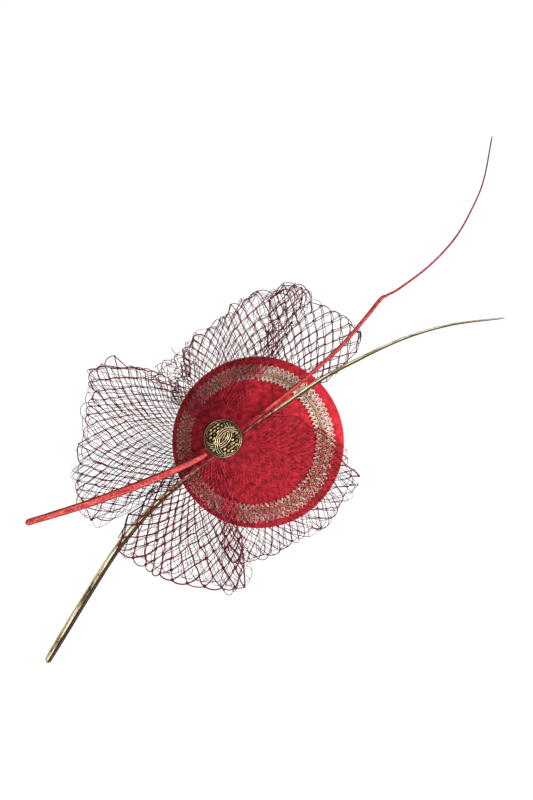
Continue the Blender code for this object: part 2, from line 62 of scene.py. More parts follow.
# Base and crown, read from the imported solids
COVER_LOW, COVER_HIGH = box_of("base_cover")
CAP_LOW, CAP_HIGH = box_of("button_cap")
BASE_R = (COVER_HIGH[0] - COVER_LOW[0]) / 2
APEX = (CAP_LOW[:2] + CAP_HIGH[:2]) / 2
APEX_Z = COVER_HIGH[2]
CROWN_H = 18.0 * MM
CROWN_POWER = 1.6
RIM_Z = APEX_Z - CROWN_H
ROLL_R = 1.45 * MM
COVER_T = 0.4 * MM
HEM_W = 9.0 * MM
LINING_DROP = COVER_HIGH[2] - box_of("lining")[1][2]
BUTTON_R = (CAP_HIGH[0] - CAP_LOW[0]) / 2
BUTTON_BACK_Z = CAP_LOW[2]

# Lace ring
TRIM_INNER_R, TRIM_OUTER_R = 44.4 * MM, 57.5 * MM
TRIM_INNER_CENTRE = np.array((-3.3, 0.3)) * MM
TRIM_OUTER_CENTRE = np.array((-1.65, -0.8)) * MM
TRIM_LIFT = 0.3 * MM
MOTIFS = 90

# Pad and its ribbon keeper: the pad's edge rounds over by shares of its breadth and of its depth; the
# keeper's path is across and up, in millimetres
PAD_DEPTH = 4.2 * MM
PAD_STEP = 0.3 * MM
PAD_STEP_X = -11.2 * MM
PAD_EDGE = 0.035
PAD_ROUND = 0.14
KEEPER_PATH = (
    (-10.0, 0.6), (-5.3, 0.6), (-4.7, 0.0), (-4.1, -0.3), (4.1, -0.3), (4.7, 0.0), (5.3, 0.6), (10.0, 0.6),
)  # fmt: skip
KEEPER_T = 0.3 * MM
KEEPER_RIB = 0.62 * MM

# Sewing threads: a ply's run in one turn, radii, and the arches through the shank and over the quills; the
# stitches' places are points of the quills' routes
TWIST, FINE_TWIST = 1.1 * MM, 0.8 * MM
BUTTON_THREAD_R = 0.33 * MM
BUTTON_THREAD_BOW = 1.0 * MM
BUTTON_THREAD_BEND = 1.35 * MM
QUILL_BEARING = math.radians(36)
STITCH_R = 0.2 * MM
STITCH_CLEAR = 0.5 * MM
RED_STITCH_AT, GOLD_STITCH_AT = 144, 200

# Veiling
NECK_R = 9.5 * MM
NET_CLEAR = 2.4 * MM
THREAD_R = 0.33 * MM
FINE_THREAD_R = 0.20 * MM
MIDDLE_MOST = 0.25 * MM

MESH_W, MESH_L = 7.8 * MM, 12.0 * MM
FAN_R = 100 * MM
CELL_POWER = 0.75

# Bearing in degrees round the button, and reach in millimetres, of each loop's outer edge
LEFT_LOOP = (
    (122, 42), (130, 50), (136, 64), (140, 76), (143, 94), (147, 105), (151, 108), (160, 101), (176, 100),
    (186, 104), (194, 109), (201, 113), (209, 115), (214, 112), (216, 98), (217, 84), (219, 62), (226, 44),
)  # fmt: skip
TOP_LOOP = (
    (58, 112), (60, 119), (66, 121), (72, 110), (79, 104), (86, 96), (97, 80), (104, 78), (116, 68),
    (122, 60), (130, 54), (144, 46),
)  # fmt: skip
BOTTOM_LOOP = (
    (206, 40), (216, 62), (221, 104), (228, 110), (233, 108), (245, 107), (256, 107), (267, 109),
    (277, 110), (281, 92),
)  # fmt: skip
RIGHT_LOOP = (
    (270, 86), (274, 91), (280, 91), (289, 91), (300, 91), (314, 94), (330, 99), (336, 99), (343, 101),
    (351, 91), (358, 82), (363, 76), (368, 64), (374, 55), (384, 46), (396, 40),
)  # fmt: skip
# The same round the base's centre, for the loop sewn under the rim
UNDER_LOOP = (
    (41, 76), (41.5, 88), (43.5, 105), (45, 111), (47, 111), (55, 109), (64, 111), (73, 116), (80, 115),
    (86, 104),
)  # fmt: skip

# The net over the neck and the folds at two loops' ends, round the button
NECK_COVER = ((8, 32), (22, 36), (36, 37), (50, 38), (62, 36), (74, 34))
TOP_FOLD = ((62, 116), (66, 122), (70, 116), (74, 108))
BOTTOM_FOLD = ((268, 102), (273, 108), (277, 110), (282, 94))

# Quill stations: x, y, z and half width in millimetres, from the thick end to the tip
RED_QUILL = (
    (-166.2, -57.4, 15.0, 2.3), (-130.0, -46.2, 14.2, 2.7), (-92.5, -32.9, 14.0, 2.9),
    (-60.0, -19.6, 14.4, 2.6), (-38.3, -9.0, 15.0, 2.0), (-22.8, 0.4, 15.1, 1.6), (5.0, 22.8, 12.0, 1.5),
    (30.3, 43.0, 8.4, 1.5), (57.1, 66.8, 5.6, 1.5), (75.5, 87.5, 4.4, 1.45), (88.1, 103.0, 3.8, 1.4),
    (93.0, 106.2, 3.6, 1.0), (102.6, 111.6, 3.4, 0.85), (124.3, 128.2, 3.2, 0.75), (142.3, 147.8, 3.0, 0.7),
    (154.6, 169.4, 4.0, 0.6), (162.6, 189.7, 5.2, 0.55), (168.3, 220.7, 7.5, 0.45),
)  # fmt: skip
GOLD_QUILL = (
    (-152.4, -158.6, 2.0, 2.3), (-143.0, -142.7, 2.2, 2.7), (-120.0, -105.0, 2.8, 2.7),
    (-99.7, -74.1, 3.8, 2.6), (-78.0, -48.8, 6.0, 2.3), (-57.0, -30.0, 9.4, 2.0), (-38.3, -16.3, 13.4, 1.7),
    (-20.8, -2.3, 14.8, 1.5), (3.6, 17.0, 11.8, 1.5), (25.0, 31.6, 8.2, 1.5), (44.8, 45.2, 5.0, 1.5),
    (62.9, 55.3, 3.2, 1.4), (102.6, 74.1, 1.6, 1.1), (138.7, 84.9, 1.2, 0.9), (178.5, 90.0, 2.2, 0.6),
)  # fmt: skip

# Floor, sky and camera, in metres
FLOOR_SIZE, FLOOR_Z, FLOOR_GLOW = 16, -2.1, 0.31
SKY = 0.45
CAMERA_AT = (6.1 * MM, 30.7 * MM, 1.365)


# ---------------------------------------------------------------- meshes from arrays


def grid_faces(rows, columns, close_rows=False, close_columns=False):
    """Quads between neighbours of a rows by columns grid, and the (row, column) of each quad's corners."""
    r = np.arange(rows if close_rows else rows - 1)
    c = np.arange(columns if close_columns else columns - 1)
    r, c = (a.ravel() for a in np.meshgrid(r, c, indexing="ij"))
    rr = np.stack([r, r + 1, r + 1, r], 1)
    cc = np.stack([c, c, c + 1, c + 1], 1)
    return (rr % rows) * columns + cc % columns, np.stack([rr, cc], -1).astype(float)


def ringed(points, turned=False, along=None):
    """A grid of rings, row by row, as a closed shape: quads between the rings, a flat end on the outer two.

    The faces point out where the way from ring to ring, the way round and outward follow the right hand;
    turned reverses them. along gives the first UV number of each row.
    """
    rows, around = points.shape[:2]
    quads, uv = grid_faces(rows, around, False, True)
    first = np.arange(around)[None]
    ends = [first, (rows - 1) * around + first[:, ::-1]]
    along = np.arange(rows) / rows if along is None else along
    uv = np.stack([along[uv[..., 0].astype(int)], uv[..., 1] / around], -1)
    if turned:
        quads, uv, ends = quads[:, ::-1], uv[:, ::-1], [end[:, ::-1] for end in ends]
    return points.reshape(-1, 3), quads, ends, uv


def joined(parts):
    """Several (points, quads, caps, uv) shapes as one."""
    points, quads, caps, uvs, start = [], [], [], [], 0
    for p, q, c, uv in parts:
        points.append(p)
        quads.append(q + start)
        caps += [cap + start for cap in c]
        uvs.append(uv)
        start += len(p)
    return np.concatenate(points), np.concatenate(quads), caps, np.concatenate(uvs)


def tubes(paths, radii, sides, closed=False, lead=LEVEL):
    """Round tubes along a stack of paths (count, steps, 3).

    A point of a ring is the path's point plus radius times (across cos a + over sin a), where across is
    square to the path and to lead, and over completes the frame.
    """
    count, steps = paths.shape[:2]
    if closed:
        run = np.roll(paths, -1, 1) - np.roll(paths, 1, 1)
    else:
        run = np.gradient(paths, axis=1)
    run = run / np.maximum(np.linalg.norm(run, axis=-1, keepdims=True), 1e-12)
    across = np.cross(run, lead)
    across = across / np.maximum(np.linalg.norm(across, axis=-1, keepdims=True), 1e-12)
    over = np.cross(across, run)
    a = FULL * np.arange(sides) / sides
    ring = across[:, :, None] * np.cos(a)[:, None] + over[:, :, None] * np.sin(a)[:, None]
    radii = np.broadcast_to(radii, (count, steps))
    skin = paths[:, :, None] + ring * radii[:, :, None, None]
    quads, corners = grid_faces(steps, sides, closed, True)
    start = np.arange(count) * steps * sides
    quads = (quads[None] + start[:, None, None]).reshape(-1, 4)
    uv = np.tile(corners / (steps, sides), (count, 1, 1))
    caps = []
    if not closed:
        caps.append(start[:, None] + np.arange(sides))
        caps.append(start[:, None] + (steps - 1) * sides + np.arange(sides)[::-1])
    return skin.reshape(-1, 3), quads, caps, uv


def half_surface(shape):
    """Half of the area of a closed shape's quads: the area of thread that a net shows on one side."""
    points, quads = shape[0], shape[1]
    p = points[quads]
    return 0.25 * np.linalg.norm(np.cross(p[:, 2] - p[:, 0], p[:, 3] - p[:, 1]), axis=1).sum()


def make_piece(name, shape, finish, stands_for=(), body="headpiece", values=None):
    """A mesh object from (points, quads, caps, uv); values holds named numbers at each point."""
    points, quads, caps, uv = shape
    corners = np.concatenate([quads.ravel()] + [c.ravel() for c in caps])
    starts = [np.arange(len(quads)) * 4]
    filled = len(quads) * 4
    for c in caps:
        starts.append(filled + np.arange(len(c)) * c.shape[1])
        filled += c.size
    mesh = bpy.data.meshes.new(name)
    mesh.vertices.add(len(points))
    mesh.vertices.foreach_set("co", points.astype(np.float32).ravel())
    mesh.loops.add(len(corners))
    mesh.loops.foreach_set("vertex_index", corners.astype(np.int32))
    starts = np.concatenate(starts)
    mesh.polygons.add(len(starts))
    mesh.polygons.foreach_set("loop_start", starts.astype(np.int32))
    mesh.polygons.foreach_set("use_smooth", np.ones(len(starts), bool))
    mesh.update(calc_edges=True)
    layer = mesh.uv_layers.new(name="UVMap")
    flat_uv = np.zeros((len(corners), 2), np.float32)
    flat_uv[: quads.size] = uv.reshape(-1, 2)
    layer.data.foreach_set("uv", flat_uv.ravel())
    for label, numbers in (values or {}).items():
        mesh.attributes.new(label, "FLOAT", "POINT").data.foreach_set("value", numbers.astype(np.float32))
    mesh.materials.append(finish)
    made = bpy.data.objects.new(name, mesh)
    bpy.context.scene.collection.objects.link(made)
    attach(made, body)
    if stands_for:
        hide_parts(*stands_for)
    return made


# ---------------------------------------------------------------- the crown's surface


def crown_share(x, y):
    """How far a plan point lies on its way from the apex (0) to the rim (1).

    With ray from the apex and along = apex . ray, the share is
    (sqrt(along^2 + ray^2 spare) + along) / spare, where spare is the base radius^2 less the apex's^2.
    """
    dx, dy = x - APEX[0], y - APEX[1]
    along = APEX[0] * dx + APEX[1] * dy
    spare = BASE_R**2 - APEX @ APEX
    return (np.sqrt(along**2 + (dx**2 + dy**2) * spare) + along) / spare


def crown_height(share):
    """Rim height plus crown rise * (1 - share^power), and straight down at the rim's slope outside."""
    inside = RIM_Z + CROWN_H * (1 - np.clip(share, 0, 1) ** CROWN_POWER)
    return inside - CROWN_H * CROWN_POWER * np.maximum(share - 1, 0)


def crown_z(x, y):
    """The crown's height over a plan point."""
    return crown_height(crown_share(x, y))


def bent_over_crown(radius, angle, depth):
    """A flat disc's point moved toward the apex by its share of the way in, and raised to the crown."""
    share = radius / BASE_R
    x = radius * np.cos(angle) + APEX[0] * (1 - share)
    y = radius * np.sin(angle) + APEX[1] * (1 - share)
    return np.stack([x, y, crown_height(share) + depth], -1)


def turned_skin(radius, depth, spokes, ripple):
    """A closed outline (radius, depth) carried round the axis and bent over the crown.

    ripple(radius, angle) is added to the depth.
    """
    angle = FULL * np.arange(spokes) / spokes
    r, a = np.meshgrid(radius, angle, indexing="ij")
    d = np.broadcast_to(np.asarray(depth)[:, None], r.shape)
    return ringed(bent_over_crown(r, a, d + ripple(r, a)))


def silk_ripple(r, a):
    """Faint unevenness of the stretched silk: waves round the rim that die out toward the apex."""
    rim = np.clip(r / BASE_R, 0, 1) ** 3
    waves = np.sin(7 * a + 1.1) + 0.7 * np.sin(13 * a + 0.4) + 0.5 * np.sin(29 * a + 2.0)
    dent = -1.8 * np.exp(-((a - math.radians(62)) / 0.07) ** 2)
    return 0.10 * MM * rim * (waves + dent)


def base_cover(finish):
    """The silk: across the crown, round the rim's roll and in under the hem, then back inside."""
    roll = BASE_R - ROLL_R
    low = np.linspace(math.pi / 2, -math.pi / 2, 15)
    top_r = np.concatenate([[0.02 * MM], np.linspace(1.5 * MM, roll, 56)])
    hem_r = np.linspace(roll - 0.5 * MM, BASE_R - HEM_W, 8)
    radius = np.concatenate([top_r, roll + ROLL_R * np.cos(low[1:-1]), [roll], hem_r])
    under = -2 * ROLL_R
    depth = np.concatenate([top_r * 0, -ROLL_R + ROLL_R * np.sin(low[1:-1]), [under], hem_r * 0 + under])
    inner = ROLL_R - COVER_T
    back_r = np.concatenate([hem_r[::-1], [roll], roll + inner * np.cos(low[-2:0:-1]), [roll], top_r[::-1]])
    back_roll = -ROLL_R + inner * np.sin(low[-2:0:-1])
    back_hem = np.concatenate([hem_r * 0, [0]]) + under + COVER_T
    back_d = np.concatenate([back_hem, back_roll, [-COVER_T], top_r * 0 - COVER_T])
    shape = turned_skin(np.concatenate([radius, back_r]), np.concatenate([depth, back_d]), 288, silk_ripple)
    made = make_piece("silk_cover", shape, finish, ["base_cover"])


def lining_ripple(r, a):
    """Fine gathers of the lining: 72 soft pleats that deepen toward its edge."""
    return 0.22 * MM * np.clip(r / BASE_R, 0, 1) ** 1.5 * np.sin(72 * a + 0.6 * np.sin(5 * a))


def lining(finish):
    """The lining: one thin layer that follows the crown from inside, folded under at its edge."""
    edge = BASE_R - 4.5 * MM
    inside = np.concatenate([[0.02 * MM], np.linspace(1.5 * MM, edge, 34)])
    radius = np.concatenate([inside, [edge + 0.15 * MM], inside[::-1]])
    top = -LINING_DROP - 0.1 * MM
    depth = np.concatenate([inside * 0 + top, [top - 0.2 * MM], inside * 0 + top - 0.4 * MM])
    shape = turned_skin(radius, depth, 432, lining_ripple)
    made = make_piece("satin_lining", shape, finish, ["lining"])


# ---------------------------------------------------------------- lace ring


def on_trim(share, angle, lift):
    """A point of the lace ring: share runs from its inner edge (0) to its outer (1), angle round it."""
    radius = TRIM_INNER_R + (TRIM_OUTER_R - TRIM_INNER_R) * share
    centre_x = TRIM_INNER_CENTRE[0] + (TRIM_OUTER_CENTRE[0] - TRIM_INNER_CENTRE[0]) * share
    centre_y = TRIM_INNER_CENTRE[1] + (TRIM_OUTER_CENTRE[1] - TRIM_INNER_CENTRE[1]) * share
    x = centre_x + radius * np.cos(angle)
    y = centre_y + radius * np.sin(angle)
    return np.stack([x, y, crown_z(x, y) + TRIM_LIFT + lift], -1)


def lace_yarn(samples, wave):
    """One yarn round the whole ring; wave gives its share, its step along the motif and its lift."""
    phase = FULL * MOTIFS * np.arange(MOTIFS * samples) / (MOTIFS * samples)
    share, step, lift = wave(phase)
    angle = (phase + step) / MOTIFS
    uneven = 0.012 * np.sin(11 * angle + 0.7) + 0.010 * np.sin(23 * angle + 2.1)
    return on_trim(share + uneven, angle, lift)[None]


def scallop(base, rise, height, shift=0.0):
    """A round picot: the share swells as half a sine while the yarn swings back into a loop."""

    def wave(phase):
        p = phase + shift
        return base + rise * np.abs(np.sin(p / 2)) ** 0.7, 0.55 * np.sin(p), height * MM * (1 + 0 * p)

    return wave


def fan(base, tip, blades, height, shift=0.0):
    """A shell: the yarn runs out and back, blades times a motif, its steps drawn together at the base."""

    def wave(phase):
        p = phase + shift
        out = 0.5 - 0.5 * np.cos(blades * p)
        local = (p + math.pi) % FULL - math.pi
        lift = height * MM * (0.6 + 0.7 * np.sin(math.pi * out))
        return base + (tip - base) * out, -local * 0.75 * (1 - out), lift

    return wave


def plait(middle, swing, height, times=1.0, shift=0.0):
    """One strand of a flat braid: its share swings as a sine, its lift twice as fast."""

    def wave(phase):
        p = times * phase + shift
        return middle + swing * np.sin(p), 0.0 * p, height * MM + 0.22 * MM * np.cos(2 * p)

    return wave


def lace_band(name, yarns, finish, node):
    """One band of lace from rows of samples a motif, wave and yarn radius, and its yarns' half surface."""
    parts = [tubes(lace_yarn(samples, wave), radius * MM, 5, True) for samples, wave, radius in yarns]
    shape = joined(parts)
    return make_piece(name, shape, finish, [node]), half_surface(shape)


def lace_ring(lace, gold):
    """Outer shells with a picot edge, a raised gold cord, and a narrow inner edge of small loops."""
    outer, yarn_area = lace_band(
        "lace_outer",
        [
            (16, scallop(0.78, 0.20, 0.60), 0.40),
            (16, scallop(0.52, 0.22, 0.80, math.pi), 0.40),
            (12, plait(0.765, 0.02, 0.85, 2.0), 0.24),
            (12, plait(0.50, 0.03, 0.85, 2.0, 0.5), 0.28),
            (16, fan(0.56, 0.92, 2, 0.55, 0.5 * math.pi), 0.20),
        ],
        lace,
        "trim_outer_lace",
    )
    inner, _ = lace_band(
        "lace_inner",
        [
            (16, scallop(0.28, -0.25, 0.60, 1.2), 0.38),
            (12, plait(0.31, 0.03, 0.8, 2.0, 1.7), 0.28),
            (16, fan(0.30, 0.10, 2, 0.5, 2.6), 0.20),
        ],
        lace,
        "trim_inner_lace",
    )
    strands = [(8, plait(0.41, 0.030, 1.0, 1.0, k * FULL / 3), 0.34) for k in range(3)]
    cord, _ = lace_band("lace_cord", strands, gold, "trim_cord")


# ---------------------------------------------------------------- quills


def smooth_route(stations, per_span):
    """Points on a Catmull-Rom curve through the stations, in metres."""
    rows = np.array(stations) * MM
    ends = np.vstack([rows[0] * 2 - rows[1], rows, rows[-1] * 2 - rows[-2]])
    a, b, c, d = ends[:-3, None], ends[1:-2, None], ends[2:-1, None], ends[3:, None]
    t = np.linspace(0, 1, per_span, endpoint=False)[None, :, None]
    spans = b + 0.5 * ((c - a) * t + (a * 2 - b * 5 + c * 4 - d) * t**2 + (b * 3 - a - c * 3 + d) * t**3)
    return np.vstack([spans.reshape(-1, rows.shape[1]), rows[-1:]])


RED_ROUTE = smooth_route(RED_QUILL, 24)
GOLD_ROUTE = smooth_route(GOLD_QUILL, 24)


def quill(name, route, finish, node, groove, shaded_flank_turn, seed):
    """A stripped feather shaft: an oval section whose upper face is grooved, with fine ridges lengthwise.

    The section's radius at angle a is the half width times 1 - groove * exp(-((a - 90) / 20)^2), plus
    small ridges that drift along the shaft.
    """
    rng = np.random.default_rng(seed)
    sides = 28
    path, width = route[:, :3], route[:, 3]
    length = np.concatenate([[0], np.cumsum(np.linalg.norm(np.diff(path, axis=0), axis=1))])
    run = np.gradient(path, axis=0)
    run /= np.linalg.norm(run, axis=1, keepdims=True)
    across = np.cross(run, UP)
    across /= np.linalg.norm(across, axis=1, keepdims=True)
    over = np.cross(across, run)
    a = FULL * np.arange(sides) / sides
    # Mask for painted shade down the shaft's sides: both sides when no turn is given, else the side at that
    # turn.
    both = 0.5 - 0.5 * np.cos(2 * a - math.pi)
    painted_flank_shade = both if shaded_flank_turn is None else 0.5 + 0.5 * np.cos(a - shaded_flank_turn)
    dip = 1 - groove * np.exp(-(((a - math.pi / 2) / 0.35) ** 2))
    phases = rng.uniform(0, FULL, 4)
    ridges = sum(
        np.sin(n * a[None] + phases[i] + 2.2 * np.sin(length[:, None] * k))
        for i, (n, k) in enumerate(((9, 40), (13, 55), (5, 90), (7, 210)))
    )
    blunt = np.clip(length / (1.6 * MM), 0, 1) ** 0.5
    blunt = np.minimum(blunt, np.clip((length[-1] - length) / (2.5 * MM), 0, 1) ** 0.5)
    blunt = np.maximum(blunt, 0.35)
    radius = (width * blunt)[:, None] * dip[None] * (1 + 0.018 * ridges)
    skin = (
        path[:, None]
        + across[:, None] * (radius * np.cos(a))[..., None]
        + over[:, None] * (0.82 * radius * np.sin(a))[..., None]
    )
    shape = ringed(skin, along=length)
    values = {"shade": np.repeat(length / length[-1], sides), "painted_flank_shade": np.tile(painted_flank_shade, len(path))}
    return make_piece(name, shape, finish, [node], values=values)


# ---------------------------------------------------------------- brass button


def line_ridges(off, pitch, half):
    """Three parallel ridges, a pitch apart, outward from a circle's line."""
    ridges = [np.exp(-(((off - k * pitch) / half) ** 2)) for k in range(3)]
    return np.maximum.reduce(ridges)


def button_relief(p, q):
    """Height of the ornament over the dome, from 0 (ground) to about 1, on the unit disc.

    Two circles of triple lines cross, so that their overlap is a leaf in the middle; each swings out to
    the edge on its own side. Coarse beads fill the fields, and slanting strokes the space by the edge.
    """
    radius, pitch, half = 0.65, 0.098, 0.026
    height = np.zeros_like(p)
    clear = np.full_like(p, 9.0)
    for cx, cy in ((0.45, -0.25), (-0.40, 0.33)):
        off = np.hypot(p - cx, q - cy) - radius
        lines = line_ridges(off, pitch, half)
        height = np.where(clear < 0.5 * pitch, height, np.maximum(height, lines))
        clear = np.minimum(clear, np.abs(off - pitch) - pitch)
    vein = np.abs((p - 0.03) * 0.91 - (q - 0.05) * 0.42)
    leaf = np.maximum(np.hypot(p - 0.45, q + 0.25), np.hypot(p + 0.40, q - 0.33)) < radius - 0.06
    height = np.where(leaf, 0.30 + 0.45 * np.cos(vein * 62), height)
    pitch = 0.15
    along, aside = (p * 0.80 + q * 0.60) / pitch * 0.62, (p * 0.60 - q * 0.80) / pitch + 0.25
    shifted = along + 0.5 * (np.floor(aside) % 2)
    cell = np.floor(shifted) * 1.7 + np.floor(aside) * 2.9
    bead = np.hypot(((shifted % 1) - 0.5) * (0.85 + 0.3 * np.sin(cell)), (aside % 1) - 0.5) / 0.43
    beads = (0.75 + 0.25 * np.sin(cell * 1.9)) * np.sqrt(np.clip(1 - bead**2, 0, 1))
    height = np.maximum(height, beads * (clear > 0.035) * ~leaf)
    r, a = np.hypot(p, q), np.arctan2(q, p)
    edge = np.maximum(np.exp(-(((r - 0.955) / 0.018) ** 2)), 0.8 * np.exp(-(((r - 0.865) / 0.018) ** 2)))
    strokes = 0.45 * np.clip(np.sin(22 * a + 30 * r), 0, 1) ** 2
    return np.where(r > 0.82, np.maximum(edge, strokes), height)


def button_cap(finish):
    """The cap: a dome of height rise * sqrt(1 - r^2) on a short skirt, with the relief added along Z."""
    rings, spokes = 120, 300
    r = np.concatenate([[0.002], np.linspace(0.01, 0.985, rings)])
    a = FULL * np.arange(spokes) / spokes
    rr, aa = np.meshgrid(r, a, indexing="ij")
    p, q = rr * np.cos(aa), rr * np.sin(aa)
    relief = button_relief(p, q)
    rise = CAP_HIGH[2] - CAP_LOW[2] - 1.4 * MM
    dome = BUTTON_BACK_Z + 1.0 * MM + rise * np.sqrt(np.clip(1 - rr**2, 0, 1)) ** 0.9
    top = np.stack([APEX[0] + BUTTON_R * p, APEX[1] + BUTTON_R * q, dome + 0.5 * MM * relief], -1)
    skirt = [(1.0, 0.9), (1.0, 0.4), (0.985, 0.05), (0.95, 0.0), (0.92, 0.05), (0.92, 1.6)]
    inside = [(0.80, 3.0), (0.55, 4.0), (0.25, 4.6), (0.002, 4.7)]
    s, z = np.array(skirt + inside).T[..., None]
    level = BUTTON_BACK_Z + z * MM + 0 * a
    lower = np.stack([APEX[0] + BUTTON_R * s * np.cos(a), APEX[1] + BUTTON_R * s * np.sin(a), level], -1)
    points = np.concatenate([top, lower])
    shade = np.concatenate([relief.ravel(), np.full(lower.shape[0] * spokes, 0.5)])
    shape, values = ringed(points), {"shade": shade}
    return make_piece("brass_cap", shape, finish, ["button_cap"], "button", values)


# ---------------------------------------------------------------- veiling


def near_route(x, y, route):
    """Distance in plan to a quill's route, and the quill's height and half width there."""
    flat = np.stack([x.ravel(), y.ravel()], -1)
    gap = np.linalg.norm(flat[:, None] - route[None, ::4, :2], axis=-1)
    best = gap.argmin(1)
    at = route[::4][best]
    return gap.min(1).reshape(x.shape), at[:, 2].reshape(x.shape), at[:, 3].reshape(x.shape)


def over_route(x, y, z, route, reach):
    """Raise points that would cut a quill to just above it, easing off with distance."""
    gap, high, half = near_route(x, y, route)
    lift = np.maximum(high + half + 0.7 * MM - z, 0)
    return z + lift * np.exp(-((gap / reach) ** 2))


def under_route(x, y, z, route, reach):
    """Lower points that would cut a quill to just below it, easing off with distance."""
    gap, high, half = near_route(x, y, route)
    drop = np.maximum(z - (high - half - 0.7 * MM), 0)
    return z - drop * np.exp(-((gap / reach) ** 2))


def soft_max(a, b, soft):
    """The higher of two heights, rounded where they meet: soft * log(e^(a / soft) + e^(b / soft))."""
    high = np.maximum(a, b)
    return high + soft * np.log(np.exp((a - high) / soft) + np.exp((b - high) / soft))


def loop_surface(outline, hang, lift, pleats, phase, route_rule):
    """Where a fan of veiling round the button lies: a function of bearing (radians) and radius.

    The height is the trimmed crown or the loop's own level past the rim, whichever is higher, plus
    pleats that grow outward; at the button it rises to the gather.
    """
    bearings, reaches = np.array(outline, float).T

    def place(turn, radius):
        u = (np.degrees(turn) - bearings[0]) / (bearings[-1] - bearings[0])
        v = radius / (np.interp(np.degrees(turn), bearings, reaches) * MM)
        wave = np.sin(FULL * pleats * u + phase)
        turn = turn + 0.035 * v * np.cos(FULL * pleats * u + phase)
        x, y = APEX[0] + radius * np.cos(turn), APEX[1] + radius * np.sin(turn)
        z = soft_max(crown_z(x, y) + NET_CLEAR, hang + 0 * x, 2.0 * MM)
        neck = np.exp(-(((radius - NECK_R) / (9 * MM)) ** 2))
        z = z + neck * (APEX_Z + 4.9 * MM - z)
        fullness = np.sin(math.pi * np.clip(v, 0, 1)) * 0.7 + 0.3 * v
        z = z + lift * fullness + 1.4 * MM * v * wave
        return np.stack([x, y, route_rule(x, y, z)], -1)

    return place


def under_surface(drop, pleats, phase):
    """Where veiling sewn under the hem lies: level with the hem, fanned from the base's centre."""
    top = COVER_LOW[2] - 1.2 * MM

    def place(turn, radius):
        wave = np.sin(pleats * turn + phase)
        x, y = radius * np.cos(turn), radius * np.sin(turn)
        return np.stack([x, y, top - drop + 0.4 * MM * wave * (radius / BASE_R - 0.85)], -1)

    return place


def loop_knots(outline, inner, scale, shift, skew):
    """Knots and joined pairs of a net fanned between an inner circle and the outline's reach.

    Meshes are diamonds whose width grows with the radius r and whose length grows as r to CELL_POWER: a
    knot's bearing is (i + skew j) half widths, and r^(1 - power) rises evenly with j, for i + j even.
    """
    bearings, reaches = np.array(outline, float).T
    low, high = np.radians(bearings[[0, -1]])
    turn_step = scale * MESH_W / 2 / FAN_R
    rest = 1 - CELL_POWER
    rise = rest * scale * MESH_L / 2 / FAN_R**CELL_POWER
    rows = int((max(reaches) * MM) ** rest / rise - inner**rest / rise) + 2
    columns = int((high - low) / turn_step) + rows
    i, j = (a.ravel() for a in np.meshgrid(np.arange(-rows, columns), np.arange(rows), indexing="ij"))
    turn = low + (i + shift + skew * j) * turn_step
    radius = (inner**rest + rise * j) ** (1 / rest)
    reach = np.interp(np.degrees(turn), bearings, reaches) * 1.02 * MM
    kept = ((i + j) % 2 == 0) & (turn >= low) & (turn <= high) & (radius < reach)
    i, j, turn, radius = i[kept] + rows, j[kept], turn[kept], radius[kept]
    label = -np.ones((rows + columns + 2, rows + 2), int)
    label[i, j] = np.arange(len(i))
    pairs = []
    for di in (1, -1):
        other = label[i + di, j + 1]
        pairs.append(np.stack([np.flatnonzero(other >= 0), other[other >= 0]], 1))
    pairs = np.concatenate(pairs)
    ties = np.bincount(pairs.ravel(), minlength=len(i))
    edge = np.flatnonzero((ties < 4) & (radius > inner + 0.8 * MESH_L))
    cell = turn_step, rise / rest * radius**CELL_POWER
    return turn, radius, cell, pairs, edge


def edge_pairs(spot, edge):
    """Neighbours along the cut edge, in their order round the middle of the piece."""
    around = spot[edge] - spot.mean(0)
    order = edge[np.argsort(np.arctan2(around[:, 1], around[:, 0]))]
    pairs = np.stack([order, np.roll(order, -1)], 1)
    gap = np.linalg.norm(spot[pairs[:, 0]] - spot[pairs[:, 1]], axis=1)
    return pairs[(gap < 1.5 * MESH_L) & (gap > 0.2 * MESH_L)]


